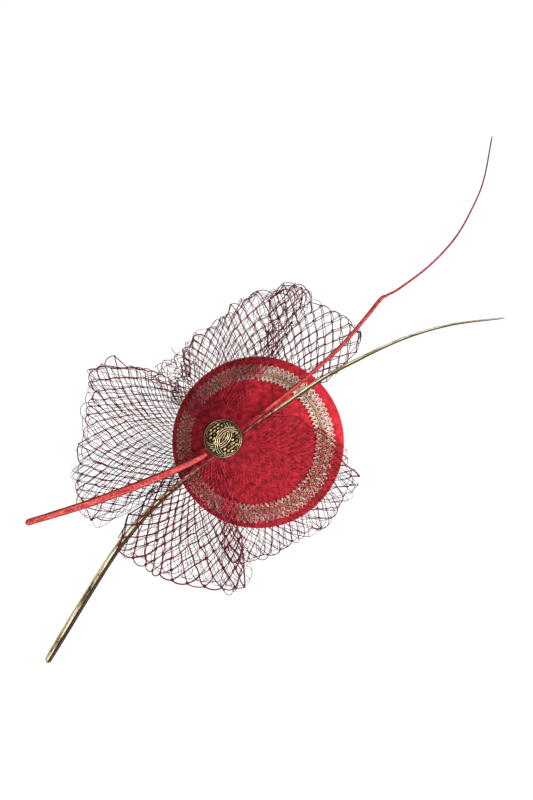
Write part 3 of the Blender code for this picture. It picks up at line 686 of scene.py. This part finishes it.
def net_shape(outline, place, thread_r, seed, inner=None, scale=1.0, skew=0.0, sides=5):
    """A knotted net laid on a surface: bowed threads between uneven knots, with round loops at the edge.

    A thread's middle leaves the straight line by a random share of a mesh times sin(pi t); an edge loop
    swells outward by sin(pi t)^0.6. Thread is drawn thinner where the net is bunched.
    """
    rng = np.random.default_rng(seed)
    turn, radius, cell, pairs, edge = loop_knots(outline, inner or NECK_R, scale, rng.uniform(0, 1), skew)
    loops = edge_pairs(radius[:, None] * np.stack([np.cos(turn), np.sin(turn)], 1), edge)
    turn = turn + rng.normal(0, 0.11, len(turn)) * cell[0]
    radius = radius + rng.normal(0, 0.09, len(turn)) * cell[1]
    t = np.linspace(0, 1, 7)[None]
    arch = np.sin(math.pi * t)
    first, last = pairs[:, :1], pairs[:, 1:]
    bow = rng.normal(0, 0.08, (2, len(pairs), 1)) * arch
    turns = turn[first] * (1 - t) + turn[last] * t + bow[0] * cell[0]
    radii = radius[first] * (1 - t) + radius[last] * t + bow[1] * cell[1][first]
    first, last = loops[:, :1], loops[:, 1:]
    swell = rng.uniform(0.0, 0.45, (len(loops), 1)) * arch**0.6 * cell[1][first]
    edge_turns = turn[first] * (1 - t) + turn[last] * t
    edge_radii = radius[first] * (1 - t) + radius[last] * t + swell
    turns, radii = np.concatenate([turns, edge_turns]), np.concatenate([radii, edge_radii])
    weight = rng.uniform(0.75, 1.2, (len(turns), 1)) * np.clip(0.28 + radii / (98 * MM), 0.4, 1)
    parts = [tubes(place(turns, radii), thread_r * weight, sides)]
    lean = rng.normal(0, 1, (len(turn), 3)) * (1, 1, 0.3)
    lean /= np.linalg.norm(lean, axis=1, keepdims=True)
    lump = rng.uniform(0.6, 1.2, (len(turn), 1)) * thread_r * (2.9 if thread_r >= THREAD_R else 1.6)
    lump = lump * np.clip(0.2 + radius / (110 * MM), 0.3, 1)[:, None]
    reach = np.array((-0.8, -0.45, 0.45, 0.8))[None, :, None]
    knots = place(turn, radius)[:, None] + lean[:, None] * reach * lump[..., None]
    parts.append(tubes(knots, np.array((0.3, 0.7, 0.7, 0.3)) * lump, 6))
    return joined(parts)


def veil(name, shape, finish, node=None):
    """A sheet of veiling. Its area is that of its threads, as the rest of a net is holes."""
    # Share of the way out from the base's centre, by which the thread finish paints shade past the base.
    out = np.hypot(shape[0][:, 0], shape[0][:, 1]) / (2 * BASE_R)
    made = make_piece(name, shape, finish, [node] if node else (), values={"shade": out})
    return made


def loose_ends(finish):
    """Frayed thread ends at the top loop's left corner: hooked arcs that start on its edge."""
    rng = np.random.default_rng(77)
    count = 60
    bearing = np.radians(rng.uniform(112, 140, count))
    radius = rng.uniform(44, 66, count) * MM
    x, y = APEX[0] + radius * np.cos(bearing), APEX[1] + radius * np.sin(bearing)
    z = soft_max(crown_z(x, y) + NET_CLEAR, 0.0 * x - 1.5 * MM, 2 * MM) + rng.uniform(0, 2.5, count) * MM
    heading = bearing + rng.normal(0.35, 0.6, count)
    length = rng.uniform(6, 13, count) * MM
    curl = rng.choice((-1, 1), count) * rng.uniform(0.8, 2.2, count)
    t = np.linspace(0, 1, 9)[None]
    turn = heading[:, None] + curl[:, None] * t**2
    step = length[:, None] / 8
    px = x[:, None] + np.cumsum(step * np.cos(turn), 1)
    py = y[:, None] + np.cumsum(step * np.sin(turn), 1)
    pz = z[:, None] + 1.2 * MM * np.sin(math.pi * t) * rng.uniform(-1, 1, (count, 1))
    shape = tubes(np.stack([px, py, pz], -1), THREAD_R * 0.85, 5)
    # Held at a share past the base, so the thread finish paints them with its painted shade.
    values = {"shade": np.full(len(shape[0]), 0.6)}
    return make_piece("veil_loose_ends", shape, finish, values=values)


def veiling(front, back):
    """Five loops, two folds and the cover of the neck: a near layer of coarser thread over two finer, which
    take a darker copy of the thread as painted shade.

    A loop's row gives its side, outline, hang in millimetres, rule at the quills, pleats, mesh scale,
    thread, lean of the meshes, and where its far layer starts, in millimetres from the button.
    """

    def free(x, y, z):
        return z

    def over_gold(x, y, z):
        return over_route(x, y, z, GOLD_ROUTE, 7 * MM)

    def over_both(x, y, z):
        return over_route(x, y, over_route(x, y, z, RED_ROUTE, 6 * MM), GOLD_ROUTE, 6 * MM)

    def below_red(x, y, z):
        return under_route(x, y, z, RED_ROUTE, 14 * MM)

    def below_gold(x, y, z):
        return under_route(x, y, z, GOLD_ROUTE, 7 * MM)

    loops = (
        ("left", LEFT_LOOP, -1.0, below_red, 3, 1.05, THREAD_R * 1.15, -0.2, 40),
        ("top", TOP_LOOP, -2.5, free, 3, 1.0, THREAD_R * 1.15, 0.1, 52),
        ("bottom", BOTTOM_LOOP, -2.5, over_gold, 2, 1.15, THREAD_R * 1.6, -0.2, 60),
        ("right", RIGHT_LOOP, -2.5, free, 3, 1.0, THREAD_R, 0.0, 78),
    )
    for seed, (side, outline, hang, rule, pleats, scale, thread, lean, start) in enumerate(loops):
        layers = (
            ("near", 3.2, 0.0, NECK_R, scale, thread, lean, front, f"net_loop_{side}"),
            # The middle and far layers take the darker thread copy, painted shade under the near layer.
            ("middle", 1.7, 0.6, 14 * MM, scale, min(0.65 * thread, MIDDLE_MOST), lean + 0.05, back, None),
            ("far", 0.3, 1.0, start * MM, 1.1, FINE_THREAD_R, lean - 0.05, back, None),
        )
        for step, (layer, lift, drop, inner, mesh, radius, skew, finish, node) in enumerate(layers):
            passing = below_gold if rule is over_gold and step else rule
            phase = 0.9 * seed + 1.3 * step
            place = loop_surface(outline, (hang - drop) * MM, lift * MM, pleats, phase, passing)
            shape = net_shape(outline, place, radius, 10 + seed + 20 * step, inner, mesh, skew)
            veil(f"veil_{side}_{layer}", shape, finish, node)
    folds = (("top", TOP_FOLD, -2.5), ("bottom", BOTTOM_FOLD, -2.5))
    for seed, (side, outline, hang) in enumerate(folds):
        place = loop_surface(outline, hang * MM, 4.2 * MM, 1, seed, free)
        shape = net_shape(outline, place, 0.8 * FINE_THREAD_R, 80 + seed, 42 * MM, 0.75)
        veil(f"veil_{side}_fold", shape, front)
    place = loop_surface(NECK_COVER, 0.0, 1.5 * MM, 2, 0.5, over_both)
    veil("veil_neck", net_shape(NECK_COVER, place, FINE_THREAD_R, 61, NECK_R, 1.3), front, "net_gather")
    sewn_under = (
        ("near", front, THREAD_R * 1.1, 0.0, "net_loop_under"),
        ("far", back, FINE_THREAD_R * 1.4, 0.9, None),
    )
    for seed, (layer, finish, thread, drop, node) in enumerate(sewn_under):
        place = under_surface(drop * MM, 9, 2.0 * seed)
        shape = net_shape(UNDER_LOOP, place, thread, 51 + seed, 54 * MM, 1.0, 0.1)
        veil(f"veil_under_{layer}", shape, finish, node)
    loose_ends(front)


# ---------------------------------------------------------------- pad, ribbon and sewing threads


def felt_pad(finish):
    """The felt block under the lining: rings of a squared oval, from the middle of its flat face over its
    rounded edges to the middle of its domed face.

    A ring's point is (half width |cos|^1/4, half length |sin|^1/4) times its scale; its height is the
    share t of the way from the flat face to the lining, with matted lumps added.
    """
    low, high = box_of("clip_pad")
    middle, half = (low + high)[:2] / 2, (high - low)[:2] / 2
    flat = np.linspace(0.01, 1 - PAD_EDGE, 26)
    turn = np.linspace(0, math.pi / 2, 6)[1:]
    sine, cosine = np.sin(turn), np.cos(turn)
    scale = np.concatenate([flat, flat[-1] + PAD_EDGE * sine, flat[-1] + PAD_EDGE * cosine, flat[::-1]])
    share = np.concatenate([flat * 0, PAD_ROUND * (1 - cosine), 1 - PAD_ROUND * (1 - sine), flat * 0 + 1])
    a = FULL * np.arange(224) / 224
    square = [np.sign(way) * np.abs(way) ** 0.25 for way in (np.cos(a), np.sin(a))]
    x, y = (c + h * 0.995 * scale[:, None] * q for c, h, q in zip(middle, half, square))
    step = np.clip((x - PAD_STEP_X) / (0.8 * MM), 0, 1)
    under = low[2] + PAD_STEP * step**2 * (3 - 2 * step)
    roof = crown_z(x, y) - PAD_DEPTH
    lumps = np.sin(2900 * x + 3 * np.sin(1900 * y)) * np.sin(2500 * y + 3 * np.sin(2300 * x))
    t = share[:, None]
    z = under + (roof - under) * t + 0.05 * MM * (lumps + 1) * (1 - 2 * t)
    shape = ringed(np.stack([x, y, z], -1), turned=True)
    make_piece("felt_pad", shape, finish, ["clip_pad"])


def ribbon_keeper(finish):
    """The ribbon round the clip's plate: a thin strip along its path, ribbed across by a cosine of the
    length, with a corded selvedge at both sides."""
    low, high = box_of("clip_strap")
    corners = np.array(KEEPER_PATH) * MM
    gaps = np.concatenate([[0], np.cumsum(np.linalg.norm(np.diff(corners, axis=0), axis=1))])
    s = np.linspace(0, gaps[-1], 300)
    soft = np.ones(9) / 9
    line = np.stack([np.interp(s, gaps, corners[:, k]) for k in (0, 1)], 1)
    padded = np.pad(line, ((4, 4), (0, 0)), "reflect", reflect_type="odd")
    line = np.stack([np.convolve(padded[:, k], soft, "valid") for k in (0, 1)], 1)
    run = np.gradient(line, axis=0)
    run /= np.linalg.norm(run, axis=1, keepdims=True)
    out = np.stack([-run[:, 1], run[:, 0]], 1)
    across = np.linspace(-1, 1, 25)
    rib = 0.5 - 0.5 * np.cos(FULL * s / KEEPER_RIB)
    selvedge = 0.5 * np.exp(-(((np.abs(across) - 0.93) / 0.05) ** 2))
    half_t = KEEPER_T / 2 * (0.62 + 0.38 * np.maximum(rib[:, None], selvedge[None]))
    half_t = half_t * (1 - np.abs(across) ** 24 * 0.7)
    width = np.concatenate([across, across[::-1]])
    side = np.concatenate([half_t, -half_t[:, ::-1]], 1)
    y = (low[1] + high[1]) / 2 + (high[1] - low[1]) / 2 * width
    x, z = (line[:, k, None] + out[:, k, None] * side for k in (0, 1))
    points = np.stack([x, np.broadcast_to(y, side.shape), z], -1)
    make_piece("ribbon_keeper", ringed(points), finish, ["clip_strap"])


def plied(path, side, thread_r, twist, closed=False):
    """Two plies wound round a path: each is the path plus an offset that turns once in every twist.

    side is square to the plane that the path lies in.
    """
    run = np.roll(path, -1, 0) - np.roll(path, 1, 0) if closed else np.gradient(path, axis=0)
    run /= np.linalg.norm(run, axis=1, keepdims=True)
    over = np.cross(side, run)
    length = np.concatenate([[0], np.cumsum(np.linalg.norm(np.diff(path, axis=0), axis=1))])
    whole = length[-1] + np.linalg.norm(path[0] - path[-1]) * closed
    turns = round(whole / twist)
    angle = FULL * turns * length / whole + np.array((0, math.pi))[:, None]
    plies = path + 0.46 * thread_r * (side * np.cos(angle)[..., None] + over * np.sin(angle)[..., None])
    return tubes(plies, 0.54 * thread_r, 7, closed, side)


def arched(middle, along, bow, feet, bend, steps):
    """A thread's path in the plane square to along: up from a foot, over a half circle of radius bow that
    starts at the height bend, and down to the other foot."""
    left = np.array((-along[1], along[0], 0.0))
    arch = np.linspace(0, math.pi, 40)
    legs = [np.linspace(foot, bend, steps)[:-1] for foot in feet]
    swing = np.concatenate([legs[0] * 0 + bow, bow * np.cos(arch), legs[1] * 0 - bow])
    rise = np.concatenate([legs[0], bend + bow * np.sin(arch), legs[1][::-1]])
    return np.array((*middle[:2], 0.0)) + swing[:, None] * left + rise[:, None] * UP


def neck_thread(finish):
    """The drawn thread that closes the veiling's neck: a circle round the button's shank."""
    low, high = box_of("gather_thread")
    ring_r = (high[0] - low[0]) / 2 - THREAD_R
    a = FULL * np.arange(900) / 900
    level = 0 * a + (low[2] + high[2]) / 2
    ring = np.stack([APEX[0] + ring_r * np.cos(a), APEX[1] + ring_r * np.sin(a), level], 1)
    shape = plied(ring, UP, (high[2] - low[2]) / 2, TWIST, True)
    make_piece("neck_thread", shape, finish, ["gather_thread"])


def button_sewing(finish):
    """The thread that holds the button: up through the shank's loop and back down."""
    low, high = box_of("button_thread")
    along = np.array((math.cos(QUILL_BEARING), math.sin(QUILL_BEARING), 0.0))
    path = arched(APEX, -along, BUTTON_THREAD_BOW, (low[2], low[2]), high[2] - BUTTON_THREAD_BEND, 30)
    shape = plied(path, along, BUTTON_THREAD_R, TWIST)
    make_piece("button_sewing", shape, finish, ["button_thread"])


def quill_stitch(name, route, spot, finish, node):
    """A stitch over a quill at one point of its route, down to the cover at both sides."""
    here = route[spot, :3]
    along = (route[spot + 8, :3] - route[spot - 8, :3]) * (1, 1, 0)
    along = along / np.linalg.norm(along)
    left = np.array((-along[1], along[0], 0.0))
    bow = route[spot, 3] + STITCH_CLEAR
    feet = [crown_z(*(here + way * bow * left)[:2]) + STITCH_CLEAR for way in (1, -1)]
    path = arched(here, along, bow, feet, here[2], 60)
    make_piece(name, plied(path, along, STITCH_R, FINE_TWIST), finish, [node])


# ---------------------------------------------------------------- finishes


class Finish:
    """A node material on a Principled shader, with short calls for the nodes that patterns need."""

    def __init__(self, name, colour, roughness, metallic=0.0, **sockets):
        self.material = bpy.data.materials.new(name)
        self.material.use_nodes = True
        self.nodes = self.material.node_tree.nodes
        self.links = self.material.node_tree.links
        self.shader = self.nodes["Principled BSDF"]
        self.set("Base Color", (*colour, 1.0))
        self.set("Roughness", roughness)
        self.set("Metallic", metallic)
        for socket, value in sockets.items():
            self.set(socket.replace("_", " "), value)

    def set(self, socket, value):
        self.shader.inputs[socket].default_value = value

    def link(self, output, socket):
        self.links.new(output, socket)

    def node(self, kind, **values):
        made = self.nodes.new(kind)
        for name, value in values.items():
            if hasattr(made, name):
                setattr(made, name, value)
            else:
                made.inputs[name.replace("_", " ")].default_value = value
        return made

    def space(self, stretch=(1, 1, 1), kind="Object"):
        place = self.node("ShaderNodeTexCoord")
        mapped = self.node("ShaderNodeMapping")
        mapped.inputs["Scale"].default_value = stretch
        self.link(place.outputs[kind], mapped.inputs["Vector"])
        return mapped.outputs["Vector"]

    def noise(self, scale, detail=3.0, rough=0.6, vector=None):
        made = self.node("ShaderNodeTexNoise", Scale=scale, Detail=detail, Roughness=rough)
        self.link(vector or self.space(), made.inputs["Vector"])
        return made.outputs["Fac"]

    def wave(self, scale, direction, distortion=0.0, vector=None):
        made = self.node("ShaderNodeTexWave", bands_direction=direction, Scale=scale, Distortion=distortion)
        made.inputs["Detail"].default_value = 1.0
        self.link(vector or self.space(), made.inputs["Vector"])
        return made.outputs["Fac"]

    def ramp(self, value, *stops):
        made = self.node("ShaderNodeValToRGB")
        ramp = made.color_ramp
        while len(ramp.elements) < len(stops):
            ramp.elements.new(0.5)
        for element, (spot, colour) in zip(ramp.elements, stops):
            element.position = spot
            element.color = (*colour, 1.0)
        self.link(value, made.inputs["Fac"])
        return made.outputs["Color"]

    def math(self, how, a, b):
        made = self.node("ShaderNodeMath", operation=how)
        for socket, value in zip(made.inputs, (a, b)):
            if isinstance(value, (int, float)):
                socket.default_value = value
            else:
                self.link(value, socket)
        return made.outputs["Value"]

    def blend(self, *weighted):
        """The sum of outputs, each times its weight."""
        total = None
        for output, weight in weighted:
            part = output if weight == 1 else self.math("MULTIPLY", output, weight)
            total = part if total is None else self.math("ADD", total, part)
        return total

    def mix(self, share, a, b, how="MIX"):
        made = self.node("ShaderNodeMix", data_type="RGBA", blend_type=how)
        made.inputs["Factor"].default_value = share if isinstance(share, (int, float)) else 0.5
        if not isinstance(share, (int, float)):
            self.link(share, made.inputs["Factor"])
        for socket, value in ((made.inputs[6], a), (made.inputs[7], b)):
            if isinstance(value, tuple):
                socket.default_value = (*value, 1.0)
            else:
                self.link(value, socket)
        return made.outputs[2]

    def colour(self, output):
        self.link(output, self.shader.inputs["Base Color"])

    def roughness(self, value, low, high):
        made = self.node("ShaderNodeMapRange")
        made.inputs["To Min"].default_value = low
        made.inputs["To Max"].default_value = high
        self.link(value, made.inputs["Value"])
        self.link(made.outputs["Result"], self.shader.inputs["Roughness"])

    def bump(self, height, strength, distance):
        made = self.node("ShaderNodeBump", Strength=strength, Distance=distance)
        self.link(height, made.inputs["Height"])
        self.link(made.outputs["Normal"], self.shader.inputs["Normal"])

    def attribute(self, name):
        made = self.node("ShaderNodeAttribute", attribute_name=name)
        return made.outputs["Fac"]


def silk(name, dark, light, sheen):
    """Plain-weave silk: slubs along both threads, crinkles in the bump and a soft sheen; its colour
    mottling is partly uneven tone and partly painted highlights and shade.
    """
    f = Finish(name, light, 0.5, Sheen_Weight=sheen, Sheen_Roughness=0.3, Specular_IOR_Level=0.25)
    f.set("Sheen Tint", (1.0, 0.38, 0.48, 1.0))
    f.set("Specular Tint", (1.0, 0.45, 0.5, 1.0))
    mottle_and_painted_crinkle_light = f.noise(230, 4, 0.6)
    slub = f.noise(420, 3, 0.7, f.space((1, 0.12, 1)))
    fibre = f.noise(520, 3, 0.7, f.space((0.12, 1, 1)))
    runs = f.math("ADD", slub, fibre)
    blend = f.blend((mottle_and_painted_crinkle_light, 0.5), (runs, 0.25))
    # Painted light: the mottling's dark and light stops paint the crinkles' highlights and the net's shade,
    # on top of the silk's uneven tone.
    f.colour(f.ramp(blend, (0.39, dark), (0.60, light)))
    f.roughness(slub, 0.42, 0.66)
    warp, weft = f.wave(900, "X", 1.0), f.wave(900, "Y", 1.0)
    f.bump(f.blend((warp, 1), (weft, 1), (runs, 1.5), (mottle_and_painted_crinkle_light, 6.0)), 0.5, 0.00018)
    return f.material


def yarn(name, dark, light, metallic, roughness, twists):
    """Twisted yarn: light and dark plies that wind round the thread, with painted glints and painted shade
    in spots and clusters of its colour.
    """
    f = Finish(name, light, roughness, metallic, Sheen_Weight=0.15, Specular_IOR_Level=0.8)
    painted_glint = f.noise(900, 2, 0.6)
    painted_glint_cluster = f.noise(400, 2, 0.5)
    ply = f.wave(1.0, "DIAGONAL", 0.5, f.space((twists, 1, 1), "UV"))
    # Painted light: the glint and cluster noises paint highlights and dark shade into the colour; the ply
    # wave is the yarn's own two tones.
    f.colour(f.ramp(f.blend((ply, 0.25), (painted_glint, 0.35), (painted_glint_cluster, 0.40)), (0.43, dark), (0.53, light)))
    f.roughness(painted_glint, roughness * 0.7, roughness * 1.5)
    f.bump(ply, 0.5, 0.00015)
    return f.material


def net_thread(name, dark, light):
    """Dyed nylon thread, uneven in tone; painted light keeps it bright over the base and painted shade
    darkens it past the base.
    """
    f = Finish(name, light, 0.45, Specular_IOR_Level=0.3)
    f.set("Specular Tint", (1.0, 0.45, 0.5, 1.0))
    dye = f.ramp(f.noise(260, 3, 0.6), (0.38, dark), (0.62, light))
    # Painted shade: threads past the base are darkened, and those over the silk kept bright as painted
    # light.
    depth = f.ramp(f.attribute("shade"), (0.44, (1.0, 1.0, 1.0)), (0.52, (0.34, 0.36, 0.36)))
    f.colour(f.mix(1.0, dye, depth, "MULTIPLY"))
    f.roughness(f.noise(900, 2), 0.35, 0.7)
    f.bump(f.noise(2500, 2), 0.3, 0.00008)
    return f.material


def quill_red_finish():
    """Dyed shaft: coral along its top, painted shade darkening its flanks to crimson, pale specks,
    darkening toward the thin tip.
    """
    f = Finish("quill_red_lacquer", (0.6, 0.04, 0.05), 0.38, Coat_Weight=0.08, Coat_Roughness=0.3)
    f.set("Specular IOR Level", 0.35)
    speck = f.noise(700, 4, 0.75)
    streak = f.noise(60, 4, 0.7, f.space((1.2, 0.25, 1), "UV"))
    tones = (0.40, (0.22, 0.003, 0.008)), (0.49, (0.50, 0.018, 0.022)), (0.58, (0.85, 0.17, 0.13))
    face = f.ramp(f.blend((speck, 0.6), (streak, 0.4)), *tones)
    # Painted shade on both sides of the shaft.
    painted_flank_shade = f.ramp(f.attribute("painted_flank_shade"), (0.08, (1.0, 1.0, 1.0)), (0.50, (0.42, 0.07, 0.12)))
    thinning = (0.44, (0.8, 0.6, 0.7)), (0.78, (0.7, 0.5, 0.6)), (0.96, (0.16, 0.08, 0.10))
    along = f.ramp(f.attribute("shade"), (0.34, (1.0, 1.0, 1.0)), *thinning)
    f.colour(f.mix(1.0, f.mix(1.0, face, painted_flank_shade, "MULTIPLY"), along, "MULTIPLY"))
    f.roughness(speck, 0.25, 0.6)
    f.bump(f.blend((speck, 1), (streak, 1)), 0.5, 0.0002)
    return f.material


def quill_gold_finish():
    """Foiled shaft: cream gold over brown, in streaks along it, with painted shade down one side."""
    f = Finish("quill_gold_foil", (0.75, 0.6, 0.35), 0.3, 0.4)
    streak = f.noise(38, 5, 0.75, f.space((1.1, 0.3, 1), "UV"))
    speck = f.noise(800, 3, 0.7)
    tones = (0.44, (0.05, 0.028, 0.010)), (0.48, (0.36, 0.25, 0.09)), (0.54, (0.84, 0.74, 0.48))
    face = f.ramp(f.blend((streak, 0.85), (speck, 0.15)), *tones)
    # Painted shade down one side of the shaft.
    painted_flank_shade = f.ramp(f.attribute("painted_flank_shade"), (0.27, (1.0, 1.0, 1.0)), (0.42, (0.04, 0.026, 0.016)))
    f.colour(f.mix(1.0, face, painted_flank_shade, "MULTIPLY"))
    f.roughness(speck, 0.2, 0.5)
    f.bump(f.blend((speck, 1), (streak, 1)), 0.6, 0.0003)
    return f.material


def antique_brass():
    """Old brass: dark patina in the recesses, rubbed yellow on the relief."""
    f = Finish("antique_brass_worn", (0.55, 0.42, 0.22), 0.32, 1.0)
    wear = f.noise(600, 4, 0.7)
    height = f.blend((f.attribute("shade"), 1), (f.math("SUBTRACT", wear, 0.5), 0.6))
    rubbed = (0.62, (0.24, 0.16, 0.075)), (0.98, (0.62, 0.51, 0.32))
    f.colour(f.ramp(height, (0.30, (0.016, 0.009, 0.005)), *rubbed))
    f.roughness(wear, 0.18, 0.5)
    f.bump(wear, 0.4, 0.0002)
    return f.material


def plated_steel(name, colour, roughness):
    """Bright plating with fine draw lines and small dulled patches."""
    f = Finish(name, colour, roughness, 1.0)
    patch = f.noise(90, 4, 0.6)
    draw = f.noise(1200, 2, 0.6, f.space((1, 0.05, 1)))
    low = tuple(c * 0.72 for c in colour)
    f.colour(f.ramp(f.blend((patch, 0.6), (draw, 0.4)), (0.35, low), (0.65, colour)))
    f.roughness(draw, roughness * 0.7, roughness * 1.6)
    f.bump(draw, 0.15, 0.0001)
    return f.material


def felt(name, dark, light):
    """Wool felt: matted short fibres."""
    f = Finish(name, light, 0.95, Sheen_Weight=0.4)
    fibre = f.noise(900, 5, 0.8)
    f.colour(f.ramp(f.blend((fibre, 0.7), (f.noise(90), 0.3)), (0.35, dark), (0.65, light)))
    f.bump(fibre, 0.8, 0.0004)
    return f.material


def grosgrain(name, dark, light):
    """Ribbed ribbon: fine ribs across its length."""
    f = Finish(name, light, 0.6, Sheen_Weight=0.3)
    ribs = f.wave(420, "X", 0.4)
    f.colour(f.ramp(f.blend((ribs, 0.6), (f.noise(500), 0.4)), (0.3, dark), (0.7, light)))
    f.bump(ribs, 0.6, 0.0002)
    return f.material


def repaint(finish, *nodes):
    """Give CAD nodes that keep their shape a detailed finish."""
    for name in nodes:
        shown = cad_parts[name]
        for i in range(max(1, len(shown.material_slots))):
            if shown.material_slots:
                shown.material_slots[i].material = finish
            else:
                shown.data.materials.append(finish)


# ---------------------------------------------------------------- camera, light and floor


def aim(thing, target):
    """Turn a lamp so that its -Z points at the target."""
    direction = np.array(target) - np.array(thing.location)
    flat = math.hypot(direction[0], direction[1])
    heading = math.atan2(direction[1], direction[0])
    thing.rotation_euler = (math.atan2(flat, -direction[2]), 0, heading - math.pi / 2)


def softbox(name, place, size, power):
    """A round area lamp that points at the object."""
    data = bpy.data.lights.new(name, "AREA")
    data.shape = "DISK"
    data.size = size
    data.energy = power
    lamp = bpy.data.objects.new(name, data)
    bpy.context.scene.collection.objects.link(lamp)
    lamp.location = place
    aim(lamp, (0, 0, 0))


def studio():
    """A pale floor well below the piece, one soft key, a low side light and an even sky."""
    bpy.ops.mesh.primitive_plane_add(size=FLOOR_SIZE, location=(0, 0, FLOOR_Z))
    floor = bpy.context.object
    floor.name = "floor"
    paper = Finish("paper", (0.94, 0.94, 0.94), 0.9)
    paper.colour(paper.ramp(paper.noise(3), (0.3, (0.93, 0.93, 0.93)), (0.7, (0.95, 0.95, 0.95))))
    paper.set("Emission Color", (1.0, 1.0, 1.0, 1.0))
    paper.set("Emission Strength", FLOOR_GLOW)
    floor.data.materials.append(paper.material)
    softbox("key", (-0.55, 0.75, 1.25), 0.35, 7)
    softbox("side", (1.3, -0.35, 0.6), 0.5, 26)
    softbox("fill", (0.3, -1.1, 0.7), 0.8, 14)
    world = bpy.data.worlds.new("sky")
    bpy.context.scene.world = world
    world.use_nodes = True
    world.node_tree.nodes["Background"].inputs["Color"].default_value = (1, 1, 1, 1)
    world.node_tree.nodes["Background"].inputs["Strength"].default_value = SKY
    bpy.context.scene.view_settings.view_transform = "Standard"


def camera():
    """Straight above, the long side of the picture along Y."""
    data = bpy.data.cameras.new("camera")
    data.lens = 85
    data.sensor_width = 36
    data.clip_end = 20
    made = bpy.data.objects.new("camera", data)
    bpy.context.scene.collection.objects.link(made)
    made.location = CAMERA_AT
    bpy.context.scene.camera = made


def main():
    """Camera, light and floor, then every piece with its finish."""
    camera()
    studio()
    red_thread = yarn("sewing_thread", (0.16, 0.006, 0.012), (0.42, 0.02, 0.035), 0.0, 0.6, 30)
    nickel = plated_steel("nickel_plate", (0.74, 0.73, 0.70), 0.25)
    base_cover(silk("red_silk", (0.23, 0.006, 0.010), (0.72, 0.026, 0.042), 0.6))
    lining(silk("lining_satin_weave", (0.20, 0.006, 0.012), (0.36, 0.015, 0.025), 0.3))
    lace_ring(
        yarn("lace_yarn", (0.24, 0.018, 0.014), (1.0, 0.85, 0.70), 0.15, 0.30, 3000),
        yarn("cord_yarn", (0.14, 0.08, 0.02), (0.55, 0.40, 0.15), 0.5, 0.4, 3000),
    )
    quill("quill_red_shaft", RED_ROUTE, quill_red_finish(), "red_quill", 0.10, None, 5)
    quill("quill_gold_shaft", GOLD_ROUTE, quill_gold_finish(), "gold_quill", 0.28, -0.4, 6)
    brass = antique_brass()
    button_cap(brass)
    veiling(
        net_thread("veil_thread_near", (0.14, 0.003, 0.010), (0.50, 0.024, 0.045)),
        # The far thread is a darker copy of the near one: painted shade for the veiling's lower layers.
        net_thread("veil_thread_far_painted_shade", (0.04, 0.001, 0.004), (0.20, 0.008, 0.018)),
    )
    repaint(felt("buckram_weave", (0.62, 0.56, 0.44), (0.86, 0.82, 0.72)), "base_core")
    felt_pad(felt("pad_felt", (0.20, 0.008, 0.014), (0.42, 0.02, 0.035)))
    ribbon_keeper(grosgrain("keeper_ribbon", (0.22, 0.01, 0.018), (0.46, 0.025, 0.04)))
    neck_thread(red_thread)
    button_sewing(red_thread)
    quill_stitch("red_quill_stitch", RED_ROUTE, RED_STITCH_AT, red_thread, "quill_stitch_red")
    quill_stitch("gold_quill_stitch", GOLD_ROUTE, GOLD_STITCH_AT, red_thread, "quill_stitch_gold")
    repaint(nickel, "clip_base", "clip_lever", "clip_pin")
    repaint(plated_steel("spring_wire", (0.55, 0.55, 0.56), 0.3), "clip_spring", "edge_wire")
    repaint(plated_steel("button_plate", (0.50, 0.37, 0.19), 0.35), "button_back", "button_shank")


main()
